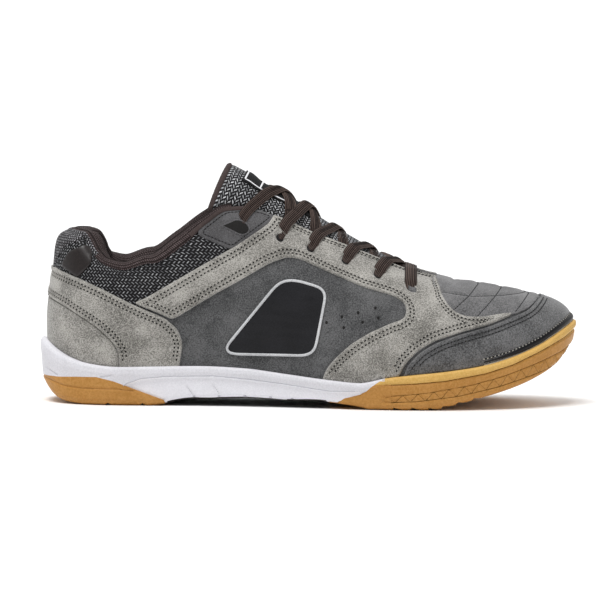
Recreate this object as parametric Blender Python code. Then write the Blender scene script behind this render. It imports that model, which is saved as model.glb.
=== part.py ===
"""Indoor soccer shoe for the right foot, toe along +X and little-toe side along -Y.

Upper, overlays and sole all follow one form: a feather line round the sole, a top line round
collar and throat, and a meridian between them at every station.
"""

import math

import bmesh
import bpy
import numpy as np
from mathutils import Matrix, Vector

# Driving dimensions, in metres
SOLE_LENGTH = 0.290
BALL_WIDTH = 0.102
HEEL_HEIGHT = 0.091
INSTEP_HEIGHT = 0.107
BED_HEIGHT = 0.017
UPPER_WALL = 0.0020
OVERLAY_THICKNESS = 0.0012
CLEARANCE = 0.0003
FEATHER_INSET = 0.0055
RIM_CLEARANCE = 0.0005
ROLL_HEIGHT = 0.0110
ROLL_WIDTH = 0.0090
ROLL_RISE = 0.0036
ROLL_HEEL_RISE = 0.0014
TONGUE_THICKNESS = 0.0045
TONGUE_TILT = 30.0
TONGUE_AXIS = -0.022
INSOLE_THICKNESS = 0.0035
LACE_WIDTH = 0.0068
LACE_THICKNESS = 0.0016
EYELET_RADIUS = 0.0018
RIB_DEPTH = 0.0014
RIB_PITCH = 0.0084
LUG_GROOVE_WIDTH = 0.0024
LUG_GROOVE_DEPTH = 0.0016
LABEL_THICKNESS = 0.0008
LABEL_LIFT = 0.0006
LACE_LIFT = 0.0018
LACE_REACH = 0.0040
LACE_SHORT = 0.0040
LACE_SINK = 0.0004

# Fineness of the meshes
STATIONS = 26
LEVELS = 9
FINE = 60
ROLL_STATIONS = 38
ROLL_SIDES = 8
TONGUE_STEPS = 10
EYELET_SIDES = 6
LACE_STEPS = 10
LACE_SAMPLES = 41
LACE_MARGIN = 0.06

# Shares: the seam between overlays, where the collar roll ends and how it thins there, and where the heel begins
SEAM_GAP = 0.005
ROLL_END = 0.335
ROLL_TAPER = 0.060
ROLL_SLIM = 0.45
ROLL_HEEL = 0.080
LABEL_SPREAD = 0.36
RIB_START = 0.645
RIB_FOOT = 0.24
RIB_TOP = 0.50

LATERAL = -1
MEDIAL = 1


def table(names, *rows):
    """Rows of numbers as one named column for each word in names."""
    return dict(zip(names.split(), np.array(rows, float).T))


# Plan of the sole: centre line and half width as shares of BALL_WIDTH, along as a share of SOLE_LENGTH
PLAN = table(
    "along axis half",
    (0.000, -0.005, 0.365),
    (0.150, -0.005, 0.365),
    (0.240, -0.012, 0.353),
    (0.345, -0.035, 0.330),
    (0.430, -0.055, 0.340),
    (0.517, -0.062, 0.383),
    (0.603, -0.045, 0.445),
    (0.707, -0.010, 0.495),
    (0.760, 0.010, 0.500),
    (0.860, 0.045, 0.500),
    (1.000, 0.090, 0.500),
)

# Heights of the sole along it: underside, rim and foot bed, as shares of BED_HEIGHT
SOLE = table(
    "along under rim bed",
    (0.000, 0.550, 2.060, 1.000),
    (0.022, 0.180, 1.760, 1.000),
    (0.050, 0.050, 1.500, 1.000),
    (0.085, 0.000, 1.330, 0.990),
    (0.150, 0.000, 1.220, 0.975),
    (0.205, 0.000, 1.240, 0.960),
    (0.300, 0.290, 1.270, 0.920),
    (0.384, 0.370, 1.220, 0.850),
    (0.460, 0.310, 1.070, 0.780),
    (0.550, 0.180, 0.900, 0.680),
    (0.600, 0.060, 0.840, 0.630),
    (0.615, 0.000, 0.880, 0.615),
    (0.645, 0.000, 1.000, 0.590),
    (0.700, 0.000, 1.120, 0.580),
    (0.735, 0.000, 1.180, 0.600),
    (0.770, 0.120, 1.250, 0.630),
    (0.834, 0.390, 1.420, 0.780),
    (0.883, 0.620, 1.650, 0.950),
    (0.934, 0.950, 2.020, 1.200),
    (0.972, 1.330, 2.420, 1.450),
    (1.000, 1.950, 2.720, 1.650),
)

# Side of the sole from its underside (0) to its rim (1), inset as a share of FEATHER_INSET
SOLE_SIDE = table(
    "rise inset",
    (0.00, 0.62),
    (0.12, 0.34),
    (0.38, 0.20),
    (0.56, 0.18),
    (0.60, 0.34),
    (0.64, 0.08),
    (0.82, 0.00),
    (1.00, 0.22),
)

# Top line of the upper round collar and throat, for each station along the feather line.
# back is a share of SOLE_LENGTH, axis, wide and bulge of BALL_WIDTH; heel and instep add up to the height
TOP_LINE = table(
    "along back axis wide heel instep drop round bulge",
    (0.000, 0.050, -0.005, 0.245, 1.010, 0.000, 0.05, 5.0, 0.020),
    (0.040, 0.077, -0.005, 0.250, 1.000, 0.000, 0.05, 5.0, 0.022),
    (0.075, 0.098, -0.006, 0.275, 0.895, 0.000, 0.05, 5.0, 0.025),
    (0.110, 0.121, -0.008, 0.290, 0.835, 0.000, 0.06, 4.5, 0.028),
    (0.160, 0.157, -0.010, 0.300, 0.805, 0.000, 0.08, 4.0, 0.028),
    (0.220, 0.207, -0.015, 0.300, 0.848, 0.000, 0.10, 3.6, 0.028),
    (0.280, 0.262, -0.018, 0.285, 0.568, 0.330, 0.12, 3.2, 0.026),
    (0.330, 0.308, -0.020, 0.258, 0.250, 0.708, 0.15, 3.0, 0.026),
    (0.375, 0.348, -0.022, 0.230, 0.000, 0.986, 0.18, 2.9, 0.026),
    (0.420, 0.390, -0.024, 0.205, 0.000, 0.990, 0.22, 2.8, 0.026),
    (0.470, 0.434, -0.028, 0.188, 0.000, 0.957, 0.26, 2.7, 0.026),
    (0.540, 0.503, -0.030, 0.176, 0.000, 0.875, 0.30, 2.7, 0.026),
    (0.620, 0.572, -0.024, 0.166, 0.000, 0.802, 0.32, 2.8, 0.026),
    (0.700, 0.631, -0.014, 0.156, 0.000, 0.737, 0.32, 3.0, 0.028),
    (0.780, 0.679, -0.004, 0.146, 0.000, 0.684, 0.32, 3.4, 0.030),
    (0.870, 0.717, 0.006, 0.134, 0.000, 0.651, 0.31, 4.4, 0.030),
    (0.940, 0.732, 0.010, 0.128, 0.000, 0.643, 0.30, 5.2, 0.030),
    (1.000, 0.738, 0.012, 0.125, 0.000, 0.640, 0.30, 5.6, 0.030),
)

# Tongue from its buried front end to its top: the points that pass under the throat's edges, as shares of
# SOLE_LENGTH, INSTEP_HEIGHT and BALL_WIDTH, then its crown above them and its skirt below as shares of BALL_WIDTH
TONGUE = table(
    "back tall wide crown skirt",
    (0.745, 0.576, 0.098, 0.012, 0.03),
    (0.714, 0.617, 0.103, 0.020, 0.03),
    (0.676, 0.659, 0.125, 0.035, 0.04),
    (0.628, 0.713, 0.137, 0.051, 0.05),
    (0.569, 0.780, 0.149, 0.071, 0.06),
    (0.500, 0.853, 0.159, 0.106, 0.07),
    (0.431, 0.935, 0.171, 0.133, 0.08),
    (0.387, 0.968, 0.186, 0.160, 0.08),
    (0.353, 0.985, 0.206, 0.205, 0.08),
    (0.334, 1.004, 0.230, 0.212, 0.06),
    (0.317, 1.037, 0.228, 0.205, 0.02),
)

# Outlines seen from the side: along as a share of SOLE_LENGTH, up as a share of INSTEP_HEIGHT
COUNTER_TOP = (
    (-0.050, 0.745), (0.014, 0.718), (0.028, 0.699), (0.070, 0.650), (0.118, 0.589),
    (0.175, 0.510), (0.237, 0.441), (0.260, 0.384), (0.269, 0.318), (0.266, 0.262), (0.258, 0.100),
)
COUNTER_SPLIT = (
    (-0.050, 0.590), (0.009, 0.538), (0.045, 0.497), (0.077, 0.447), (0.107, 0.397),
    (0.134, 0.332), (0.149, 0.274), (0.152, 0.100),
)
SUEDE = (
    (0.175, 0.518), (0.197, 0.540), (0.293, 0.693), (0.365, 0.808), (0.427, 0.921), (0.452, 1.060),
    (0.545, 1.000), (0.700, 0.800), (0.733, 0.690), (0.745, 0.586), (0.755, 0.537), (0.771, 0.489),
    (0.793, 0.465), (0.824, 0.462), (0.859, 0.476), (0.884, 0.480), (0.878, 0.466), (0.833, 0.422),
    (0.783, 0.388), (0.737, 0.347), (0.707, 0.299), (0.683, 0.232), (0.668, 0.150), (0.524, 0.100),
    (0.536, 0.199), (0.555, 0.261), (0.581, 0.326), (0.617, 0.387), (0.656, 0.435), (0.680, 0.455),
    (0.685, 0.489), (0.680, 0.537), (0.656, 0.571), (0.606, 0.607), (0.533, 0.688), (0.485, 0.747),
    (0.461, 0.756), (0.427, 0.722), (0.377, 0.641), (0.322, 0.556), (0.248, 0.432), (0.237, 0.452),
)
TOE_CAP = (
    (0.672, 0.100), (0.687, 0.224), (0.711, 0.291), (0.740, 0.339), (0.785, 0.380), (0.835, 0.414),
    (0.886, 0.462), (0.911, 0.489), (0.934, 0.551), (0.944, 0.620), (1.100, 0.620), (1.100, 0.100),
)
EYELET_TAB = (
    (0.302, 0.882), (0.302, 1.100), (0.430, 1.100), (0.434, 0.962), (0.423, 0.924), (0.361, 0.811),
)
HEEL_PATCH = ((0.043, 0.783), (0.079, 0.815), (0.091, 0.795), (0.093, 0.750), (0.072, 0.665), (0.032, 0.710))
SIDE_INSET = ((0.345, 0.285), (0.440, 0.610), (0.455, 0.640), (0.480, 0.640), (0.525, 0.605), (0.535, 0.585),
              (0.515, 0.285), (0.500, 0.265), (0.355, 0.265))
HEEL_GUM = (
    (-0.100, 0.145), (0.034, 0.134), (0.070, 0.140), (0.108, 0.142), (0.141, 0.121),
    (0.181, 0.081), (0.236, 0.026), (0.236, -0.100), (-0.100, -0.100),
)
FRONT_GUM = (
    (0.536, -0.100), (0.540, 0.028), (0.581, 0.060), (0.606, 0.100), (0.626, 0.136), (0.640, 0.162),
    (0.644, 0.700), (1.100, 0.700), (1.100, -0.100),
)
EYELETS = ((0.368, 0.905), (0.447, 0.848), (0.504, 0.795), (0.569, 0.733), (0.629, 0.664), (0.690, 0.600))
LACE_CROWNS = (0.450, 0.500, 0.551, 0.611, 0.665)
LUG_GROOVES = (0.662, 0.698, 0.731, 0.762, 0.793, 0.824, 0.855)
HEEL_GROOVES = (0.130, 0.195)


def smooth(columns, name, at):
    """Monotone cubic curve through one column of a table."""
    xs, ys = columns["along"], columns[name]
    steps = np.diff(xs)
    slopes = np.diff(ys) / steps
    ends = np.zeros_like(ys)
    ends[0], ends[-1] = slopes[0], slopes[-1]
    for i in range(1, len(xs) - 1):
        if slopes[i - 1] * slopes[i] > 0:
            first, second = 2 * steps[i] + steps[i - 1], steps[i] + 2 * steps[i - 1]
            ends[i] = (first + second) / (first / slopes[i - 1] + second / slopes[i])
    at = np.clip(np.asarray(at, float), xs[0], xs[-1])
    k = np.clip(np.searchsorted(xs, at) - 1, 0, len(xs) - 2)
    t = (at - xs[k]) / steps[k]
    return (
        (2 * t**3 - 3 * t**2 + 1) * ys[k]
        + (t**3 - 2 * t**2 + t) * steps[k] * ends[k]
        + (3 * t**2 - 2 * t**3) * ys[k + 1]
        + (t**3 - t**2) * steps[k] * ends[k + 1]
    )


def end_round(along):
    """Rounds the plan to nothing at heel and toe."""
    heel = np.clip((0.138 - along) / 0.138, 0, 1)
    toe = np.clip((along - 0.741) / 0.259, 0, 1)
    return (1 - heel**2) ** 0.45 * (1 - toe**2) ** 0.52


def ring(count=STATIONS):
    """Stations once round the shoe: heel, little-toe side, toe, big-toe side. Gives share and side."""
    shares = (1 - np.cos(np.linspace(0, math.pi, count + 1))) / 2
    along = np.concatenate([shares, shares[-2:0:-1]])
    side = np.where(np.arange(2 * count) <= count, LATERAL, MEDIAL)
    return along, side


def plan(along, side, inset=0.0):
    """Points in plan on the sole's outline, or inside it by inset at the widest part."""
    half = smooth(PLAN, "half", along) * BALL_WIDTH * end_round(along)
    half = half * (1 - 2 * inset / BALL_WIDTH)
    x = inset + along * (SOLE_LENGTH - 2 * inset)
    y = smooth(PLAN, "axis", along) * BALL_WIDTH + side * half
    return np.stack([x, y], -1)


def outward(points):
    """Unit normals in plan of a closed ring that runs anticlockwise seen from above."""
    run = np.roll(points, -1, 0) - np.roll(points, 1, 0)
    normal = np.stack([run[:, 1], -run[:, 0]], -1)
    return normal / np.linalg.norm(normal, axis=1, keepdims=True)


def sole_height(name, x):
    """Height of the underside, rim or foot bed at a place along the shoe."""
    return smooth(SOLE, name, x / SOLE_LENGTH) * BED_HEIGHT


def rim_heights(along, side):
    """Height of the sole's rim at each station of a closed ring."""
    edge = plan(along, side)
    inner = edge - outward(edge) * SOLE_SIDE["inset"][-1] * FEATHER_INSET
    return sole_height("rim", inner[:, 0])


def meridians(along, side):
    """Fine curves from feather line to top line, one for each station of a closed ring."""
    foot = plan(along, side, FEATHER_INSET)
    normal = outward(foot)
    half = smooth(TOP_LINE, "wide", along) * BALL_WIDTH * end_round(along)
    top_x = smooth(TOP_LINE, "back", along) * SOLE_LENGTH
    top_y = smooth(TOP_LINE, "axis", along) * BALL_WIDTH + side * half
    low = smooth(SOLE, "bed", along) * BED_HEIGHT
    high = smooth(TOP_LINE, "heel", along) * HEEL_HEIGHT + smooth(TOP_LINE, "instep", along) * INSTEP_HEIGHT
    drop = smooth(TOP_LINE, "drop", along)[:, None]
    power = 2 / smooth(TOP_LINE, "round", along)[:, None]
    bulge = smooth(TOP_LINE, "bulge", along)[:, None] * BALL_WIDTH
    turn = np.linspace(0, math.pi / 2, FINE)
    lean = 1 - np.maximum(np.cos(turn), 0)[None] ** power
    rise = (1 - drop * (1 - lean)) * np.sin(turn)[None] ** power
    swell = bulge * np.sin(math.pi * rise**1.1)
    x = foot[:, :1] + (top_x[:, None] - foot[:, :1]) * lean + normal[:, :1] * swell
    y = foot[:, 1:] + (top_y[:, None] - foot[:, 1:]) * lean + normal[:, 1:] * swell
    z = low[:, None] + (high - low)[:, None] * rise
    return np.stack([x, y, z], -1)


def spread(curve, shares):
    """Points of one curve at shares of its length."""
    run = np.concatenate([[0], np.cumsum(np.linalg.norm(np.diff(curve, axis=0), axis=1))])
    return np.stack([np.interp(np.asarray(shares) * run[-1], run, curve[:, i]) for i in range(3)], -1)


def upper_grid(count=STATIONS, levels=LEVELS):
    """Points of the upper's outer face, stations by levels, with unit normals."""
    along, side = ring(count)
    shares = np.linspace(0, 1, levels + 1)
    points = np.array([spread(curve, shares) for curve in meridians(along, side)])
    around = np.roll(points, -1, 0) - np.roll(points, 1, 0)
    upward = np.gradient(points, axis=1)
    normals = np.cross(around, upward)
    return points, normals / np.linalg.norm(normals, axis=2, keepdims=True)


def centred(points):
    """Shoe coordinates moved so that the origin is under the middle of the sole."""
    along, side = ring(200)
    edge = plan(along, side)
    middle = (edge.min(0) + edge.max(0)) / 2
    return np.asarray(points, float) - np.array([middle[0], middle[1], 0])


def material(name, colour, roughness, metallic=0.0):
    """A plain Principled finish. The colour is linear."""
    finish = bpy.data.materials.new(name)
    finish.use_nodes = True
    shader = finish.node_tree.nodes["Principled BSDF"]
    shader.inputs["Base Color"].default_value = (*colour, 1)
    shader.inputs["Roughness"].default_value = roughness
    shader.inputs["Metallic"].default_value = metallic
    return finish


def add_object(name, points, faces, collection, finish=None):
    """A mesh object from points and faces, welded, with its faces turned out."""
    mesh = bpy.data.meshes.new(name)
    mesh.from_pydata([tuple(p) for p in centred(points)], [], faces)
    shape = bmesh.new()
    shape.from_mesh(mesh)
    bmesh.ops.remove_doubles(shape, verts=shape.verts, dist=1e-6)
    bmesh.ops.recalc_face_normals(shape, faces=shape.faces)
    shape.to_mesh(mesh)
    shape.free()
    thing = bpy.data.objects.new(name, mesh)
    collection.objects.link(thing)
    if finish:
        mesh.materials.append(finish)
        mesh.shade_smooth()
        mesh.set_sharp_from_angle(angle=math.radians(40))
    else:
        thing.hide_render = True
        thing.display_type = "WIRE"
    return thing


def band(count, low, high, other=False):
    """Triangles between two closed rings of count points, split along one diagonal or the other."""
    faces = []
    for i in range(count):
        j = (i + 1) % count
        a, b, c, d = low * count + i, low * count + j, high * count + j, high * count + i
        faces += [(a, b, d), (b, c, d)] if other else [(a, b, c), (a, c, d)]
    return faces


def tube_faces(count, rings):
    """Bands between closed rings of count points, the rings one after another."""
    return [face for r in range(rings - 1) for face in band(count, r, r + 1)]


def across_faces(count, start):
    """Faces that close a ring of stations by running from side to side."""
    half = count // 2
    faces = [(start, start + 1, start + count - 1)]
    for i in range(1, half - 1):
        faces.append((start + i, start + i + 1, start + count - i - 1, start + count - i))
    faces.append((start + half - 1, start + half, start + half + 1))
    return faces


def loft(name, rings, collection, finish):
    """A solid through closed rings of stations, closed across at both ends."""
    count = len(rings[0])
    faces = tube_faces(count, len(rings)) + across_faces(count, 0)
    faces += across_faces(count, (len(rings) - 1) * count)
    return add_object(name, np.concatenate(rings), faces, collection, finish)


def shell(name, low, high, collection, finish, grid=None):
    """The solid between two offsets of the upper's face, closed along both its edges."""
    points, normals = grid or upper_grid()
    count, levels = points.shape[:2]
    outer = [points[:, k] + normals[:, k] * high for k in range(levels)]
    inner = [points[:, k] + normals[:, k] * low for k in range(levels)]
    faces = [face[::-1] for face in band(count, 0, levels) + band(count, 2 * levels - 1, levels - 1)]
    for k in range(levels - 1):
        faces += band(count, k, k + 1)
        faces += [face[::-1] for face in band(count, levels + k, levels + k + 1)]
    return add_object(name, np.concatenate(outer + inner), faces, collection, finish)


def grid_above_rim():
    """The upper's grid with every row below the sole's rim drawn up to just above it."""
    points, normals = upper_grid()
    rim = rim_heights(*ring())
    for i in range(len(points)):
        over = points[i, :, 2] - rim[i] - RIM_CLEARANCE
        k = int(np.argmax(over > 0))
        t = over[k - 1] / (over[k - 1] - over[k])
        points[i, :k] = points[i, k - 1] + (points[i, k] - points[i, k - 1]) * t
        normals[i, :k] = normals[i, k - 1] + (normals[i, k] - normals[i, k - 1]) * t
    return points, normals


def prism(name, outline, near, far, collection):
    """A cutter: an outline seen from the side, run across the shoe from near to far."""
    points = np.array(outline) * (SOLE_LENGTH, INSTEP_HEIGHT)
    rows = [np.stack([points[:, 0], np.full(len(points), y), points[:, 1]], -1) for y in (near, far)]
    count = len(points)
    faces = tube_faces(count, 2) + [tuple(range(count)), tuple(range(count, 2 * count))]
    return add_object(name, np.concatenate(rows), faces, collection)


def cut(thing, cutter, operation):
    """A Boolean that stays on its object."""
    step = thing.modifiers.new(operation.lower(), "BOOLEAN")
    step.operation = operation
    step.object = cutter
    return thing


def make_sole(parts, cutters, finishes):
    """Midsole, heel and forefoot, cut from one sole along the lines that its side shows."""
    along, side = ring()
    edge = plan(along, side)
    normal = outward(edge)
    rings = []
    for rise, inset in zip(SOLE_SIDE["rise"], SOLE_SIDE["inset"]):
        flat = edge - normal * inset * FEATHER_INSET
        low = sole_height("under", flat[:, 0])
        high = sole_height("rim", flat[:, 0])
        rings.append(np.column_stack([flat, low + (high - low) * rise]))
    rim = rim_heights(along, side)
    fine = meridians(along, side)
    inner = []
    for share in (1.0, 0.75, 0.5, 0.25, 0.0):
        row = []
        for i, curve in enumerate(fine):
            height = curve[0, 2] + (rim[i] - curve[0, 2]) * share
            k = np.searchsorted(curve[:, 2], height)
            t = (height - curve[k - 1, 2]) / (curve[k, 2] - curve[k - 1, 2]) if k else 0
            row.append(curve[k - 1] + (curve[k] - curve[k - 1]) * t if k else curve[0])
        row = np.array(row)
        row[:, :2] += outward(row[:, :2]) * RIM_CLEARANCE
        inner.append(row)
    inner[-1][:, 2] -= CLEARANCE
    rings += inner
    wide = BALL_WIDTH
    heel_cut = prism("heel_gum_cut", HEEL_GUM, -wide, wide, cutters)
    front_cut = prism("front_gum_cut", FRONT_GUM, -wide, wide, cutters)
    grown = CLEARANCE / SOLE_LENGTH, CLEARANCE / INSTEP_HEIGHT
    heel_room = [(x + grown[0], z + grown[1]) for x, z in HEEL_GUM]
    front_room = [(x - grown[0], z + grown[1]) for x, z in FRONT_GUM]
    heel_gap = prism("heel_gum_gap", heel_room, -wide, wide, cutters)
    front_gap = prism("front_gum_gap", front_room, -wide, wide, cutters)
    midsole = loft("midsole", rings, parts, finishes["eva"])
    cut(midsole, heel_gap, "DIFFERENCE")
    cut(midsole, front_gap, "DIFFERENCE")
    heel = loft("outsole_heel", rings, parts, finishes["gum"])
    cut(heel, heel_cut, "INTERSECT")
    front = loft("outsole_forefoot", rings, parts, finishes["gum"])
    cut(front, front_cut, "INTERSECT")
    return midsole, heel, front


def side_wall(rise, count=240):
    """Points in a closed ring on the sole's side at one share of its height, with plan normals."""
    along, side = ring(count)
    edge = plan(along, side)
    normal = outward(edge)
    inset = np.interp(rise, SOLE_SIDE["rise"], SOLE_SIDE["inset"]) * FEATHER_INSET
    flat = edge - normal * inset
    low, high = sole_height("under", flat[:, 0]), sole_height("rim", flat[:, 0])
    return np.column_stack([flat, low + (high - low) * rise]), np.column_stack([normal, np.zeros(len(normal))])


def cut_ribs(front, cutters):
    """Triangular pockets round the forefoot's side, which leave a zigzag rib between them."""
    low, normal = side_wall(RIB_FOOT)
    high, _ = side_wall(RIB_TOP)
    run = np.concatenate([[0], np.cumsum(np.linalg.norm(np.diff(low[:, :2], axis=0), axis=1))])
    inside = low[:, 0] > RIB_START * SOLE_LENGTH
    first, last = run[inside][0], run[inside][-1]
    points, faces = [], []
    for k in range(int((last - first) / RIB_PITCH)):
        corners = []
        for grid, step in ((low, 0.06), (low, 0.82), (high, 0.44)):
            at = first + (k + step) * RIB_PITCH
            spot = np.array([np.interp(at, run, grid[:, i]) for i in range(3)])
            corners.append((spot, np.array([np.interp(at, run, normal[:, i]) for i in range(3)])))
        base = len(points)
        for lift in (RIB_PITCH / 4, -RIB_DEPTH):
            points += [spot + way * lift for spot, way in corners]
        faces += [(base, base + 1, base + 2), (base + 5, base + 4, base + 3)]
        for i in range(3):
            j = (i + 1) % 3
            faces.append((base + j, base + i, base + 3 + i, base + 3 + j))
    cut(front, add_object("rib_pockets", points, faces, cutters), "DIFFERENCE")


def cut_lugs(thing, name, places, cutters):
    """Grooves from side to side under the sole, which leave its lugs and the steps of its lower edge."""
    points, faces = [], []
    for along in places:
        middle = along * SOLE_LENGTH
        high = float(sole_height("under", middle)) + LUG_GROOVE_DEPTH
        base = len(points)
        for y in (-BALL_WIDTH, BALL_WIDTH):
            for x, z in ((-1, -BED_HEIGHT), (1, -BED_HEIGHT), (0.7, high), (-0.7, high)):
                points.append((middle + x * LUG_GROOVE_WIDTH / 2, y, z))
        faces += [tuple(base + i for i in (0, 1, 2, 3)), tuple(base + i for i in (7, 6, 5, 4))]
        for i in range(4):
            j = (i + 1) % 4
            faces.append((base + j, base + i, base + 4 + i, base + 4 + j))
    cut(thing, add_object(name, points, faces, cutters), "DIFFERENCE")


def make_upper(parts, finishes):
    """The hollow upper, open at collar and throat and underneath."""
    return shell("upper", -UPPER_WALL, 0.0, parts, finishes["nubuck"])


def make_insole(parts, finishes):
    """A thin insole inside the upper's wall."""
    along, side = ring()
    points, _ = upper_grid()
    inset = UPPER_WALL + 2 * CLEARANCE
    rings = []
    for rise in (0.0, 1.0):
        row = points[:, 0].copy()
        row[:, :2] -= outward(row[:, :2]) * inset * (1 if rise else 1.4)
        row[:, 2] += INSOLE_THICKNESS * rise
        rings.append(row)
    return loft("insole", rings, parts, finishes["foam"])


def tongue_rows(rows, turns, lift=0.0):
    """Points of the tongue's face at rows of its table (they may be between two) and turns of -1 to 1."""
    tilt = math.radians(TONGUE_TILT)
    square = np.array([math.sin(tilt), 0, math.cos(tilt)])
    found = []
    for row in rows:
        count = np.arange(len(TONGUE["back"]))
        back, tall, wide, crown, skirt = (np.interp(row, count, column) for column in TONGUE.values())
        foot = np.array([back * SOLE_LENGTH, TONGUE_AXIS * BALL_WIDTH, tall * INSTEP_HEIGHT])
        half, high = wide * BALL_WIDTH, crown * BALL_WIDTH
        radius = (half**2 + high**2) / (2 * high)
        reach = 2 * math.atan(high / half) + skirt * BALL_WIDTH / radius
        middle = foot + square * (high - radius)
        size = radius + lift
        found.append([
            middle + np.array([0, math.sin(turn) * size, 0]) + square * math.cos(turn) * size
            for turn in np.asarray(turns) * reach
        ])
    return np.array(found)


def rod(name, rings, collection, finish):
    """A solid through closed rings of points, with a flat cap at either end."""
    count = len(rings[0])
    faces = tube_faces(count, len(rings))
    faces += [tuple(range(count)), tuple(range((len(rings) - 1) * count, len(rings) * count))]
    return add_object(name, np.concatenate(rings), faces, collection, finish)


def slab(name, top, bottom, collection, finish):
    """A solid between two grids of points, one face above the other."""
    return rod(name, [np.concatenate([a, b[::-1]]) for a, b in zip(top, bottom)], collection, finish)


def make_tongue(parts, finishes):
    """A padded arch of sections square to the instep, from under the vamp to above the collar."""
    turns = np.linspace(-1, 1, TONGUE_STEPS + 1)
    rows = range(len(TONGUE["back"]))
    top, bottom = tongue_rows(rows, turns), tongue_rows(rows, turns, -TONGUE_THICKNESS)
    return slab("tongue", top, bottom, parts, finishes["mesh"])


def make_label(parts, finishes):
    """A plain patch sewn on the tongue's face near its top."""
    rows = [5.2, 6, 7, 8, 8.4]
    turns = np.linspace(-LABEL_SPREAD, LABEL_SPREAD, TONGUE_STEPS // 2 + 2)
    # The patch keeps the tongue's own facets under it, so it never cuts into them
    top = tongue_rows(rows, turns, LABEL_LIFT + LABEL_THICKNESS)
    bottom = tongue_rows(rows, turns, LABEL_LIFT)
    return slab("tongue_label", top, bottom, parts, finishes["label"])


def make_overlay(name, outline, side, parts, cutters, finish):
    """A panel on the upper, cut from the shell around it by an outline seen from the side."""
    panel = shell(name, CLEARANCE, CLEARANCE + OVERLAY_THICKNESS, parts, finish, grid_above_rim())
    near, far = {LATERAL: (-BALL_WIDTH, 0), MEDIAL: (0, BALL_WIDTH), 0: (-BALL_WIDTH, BALL_WIDTH)}[side]
    return cut(panel, prism(name + "_outline", outline, near, far, cutters), "INTERSECT")


def make_overlays(parts, cutters, finishes):
    """Counter, suede side panels, toe cap, eyelet tabs, heel patches and side insets."""
    split = [(x + SEAM_GAP, z + SEAM_GAP) for x, z in COUNTER_SPLIT]
    corner = ((-0.050, 0.100),)
    make_overlay("heel_counter_band", COUNTER_TOP + tuple(reversed(split)), 0, parts, cutters, finishes["suede"])
    make_overlay("heel_counter_inset", COUNTER_SPLIT + corner, 0, parts, cutters, finishes["suede"])
    make_overlay("toe_cap", TOE_CAP, 0, parts, cutters, finishes["toe"])
    laced = []
    for side, word in ((LATERAL, "lateral"), (MEDIAL, "medial")):
        laced.append(make_overlay("side_overlay_" + word, SUEDE, side, parts, cutters, finishes["suede"]))
        laced.append(make_overlay("eyelet_tab_" + word, EYELET_TAB, side, parts, cutters, finishes["toe"]))
        make_overlay("heel_patch_" + word, HEEL_PATCH, side, parts, cutters, finishes["smooth"])
        make_overlay("side_inset_" + word, SIDE_INSET, side, parts, cutters, finishes["inset"])
    return laced


def eyelet_places(side):
    """Points and unit normals on the upper where the eyelets go through."""
    points, normals = upper_grid(6 * STATIONS, 6 * LEVELS)
    here = ring(6 * STATIONS)[1] == side
    points, normals = points[here].reshape(-1, 3), normals[here].reshape(-1, 3)
    places = []
    for along, up in EYELETS:
        away = np.hypot(points[:, 0] - along * SOLE_LENGTH, points[:, 2] - up * INSTEP_HEIGHT)
        near = int(np.argmin(away))
        places.append((points[near], normals[near]))
    return places


def cut_eyelets(things, cutters):
    """Round holes through the upper and what lies on it."""
    shape = bmesh.new()
    for side in (LATERAL, MEDIAL):
        for point, normal in eyelet_places(side):
            turn = Vector(normal).to_track_quat("Z", "Y").to_matrix().to_4x4()
            spot = Matrix.Translation(Vector(centred(point))) @ turn
            bmesh.ops.create_cone(
                shape, cap_ends=True, segments=EYELET_SIDES, radius1=EYELET_RADIUS, radius2=EYELET_RADIUS,
                depth=4 * (UPPER_WALL + OVERLAY_THICKNESS), matrix=spot,
            )
    mesh = bpy.data.meshes.new("eyelet_holes")
    shape.to_mesh(mesh)
    shape.free()
    holes = bpy.data.objects.new("eyelet_holes", mesh)
    holes.hide_render = True
    holes.display_type = "WIRE"
    cutters.objects.link(holes)
    for thing in things:
        cut(thing, holes, "DIFFERENCE")


def make_roll(parts, finishes):
    """The padded roll inside the collar's edge, from one corner of the throat round the heel to the other."""
    points, _ = upper_grid(ROLL_STATIONS, 4 * LEVELS)
    along, side = ring(ROLL_STATIONS)
    kept = [i for i in range(len(along)) if along[i] < ROLL_END]
    order = [i for i in kept if side[i] == LATERAL][::-1] + [i for i in kept if side[i] == MEDIAL][::-1]
    top = points[order, -1]
    normal = np.column_stack([outward(points[:, -1, :2])[order], np.zeros(len(order))])
    up = np.cross(normal, np.gradient(top, axis=0))
    up *= np.sign(up[:, 2:]) / np.linalg.norm(up, axis=1, keepdims=True)
    heel = np.clip(1 - along[order] / ROLL_HEEL, 0, 1)[:, None]
    rise = ROLL_RISE + (ROLL_HEEL_RISE - ROLL_RISE) * heel
    slim = 1 - ROLL_SLIM * np.clip(1 - (ROLL_END - along[order]) / ROLL_TAPER, 0, 1)[:, None]
    tall, wide = ROLL_HEIGHT / 2 * slim, ROLL_WIDTH / 2 * slim
    middle = top + up * (rise * slim - tall) - normal * (wide + UPPER_WALL + 2 * CLEARANCE)
    sections = []
    for turn in np.linspace(0, 2 * math.pi, ROLL_SIDES, endpoint=False):
        sections.append(middle + up * math.sin(turn) * tall + normal * math.cos(turn) * wide)
    return rod("collar_roll", np.stack(sections, 1), parts, finishes["knit"])


def tops(things, spots):
    """Height of the highest face of some objects at places in plan, in shoe coordinates."""
    graph = bpy.context.evaluated_depsgraph_get()
    graph.update()
    solids = [thing.evaluated_get(graph) for thing in things]
    shift = centred(np.zeros(3))
    heights = []
    for x, y in spots:
        start = Vector((x + shift[0], y + shift[1], 2 * INSTEP_HEIGHT))
        hits = [solid.ray_cast(start, Vector((0, 0, -1))) for solid in solids]
        heights.append(max([place.z for hit, place, _, _ in hits if hit], default=0.0))
    return np.array(heights)


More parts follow.
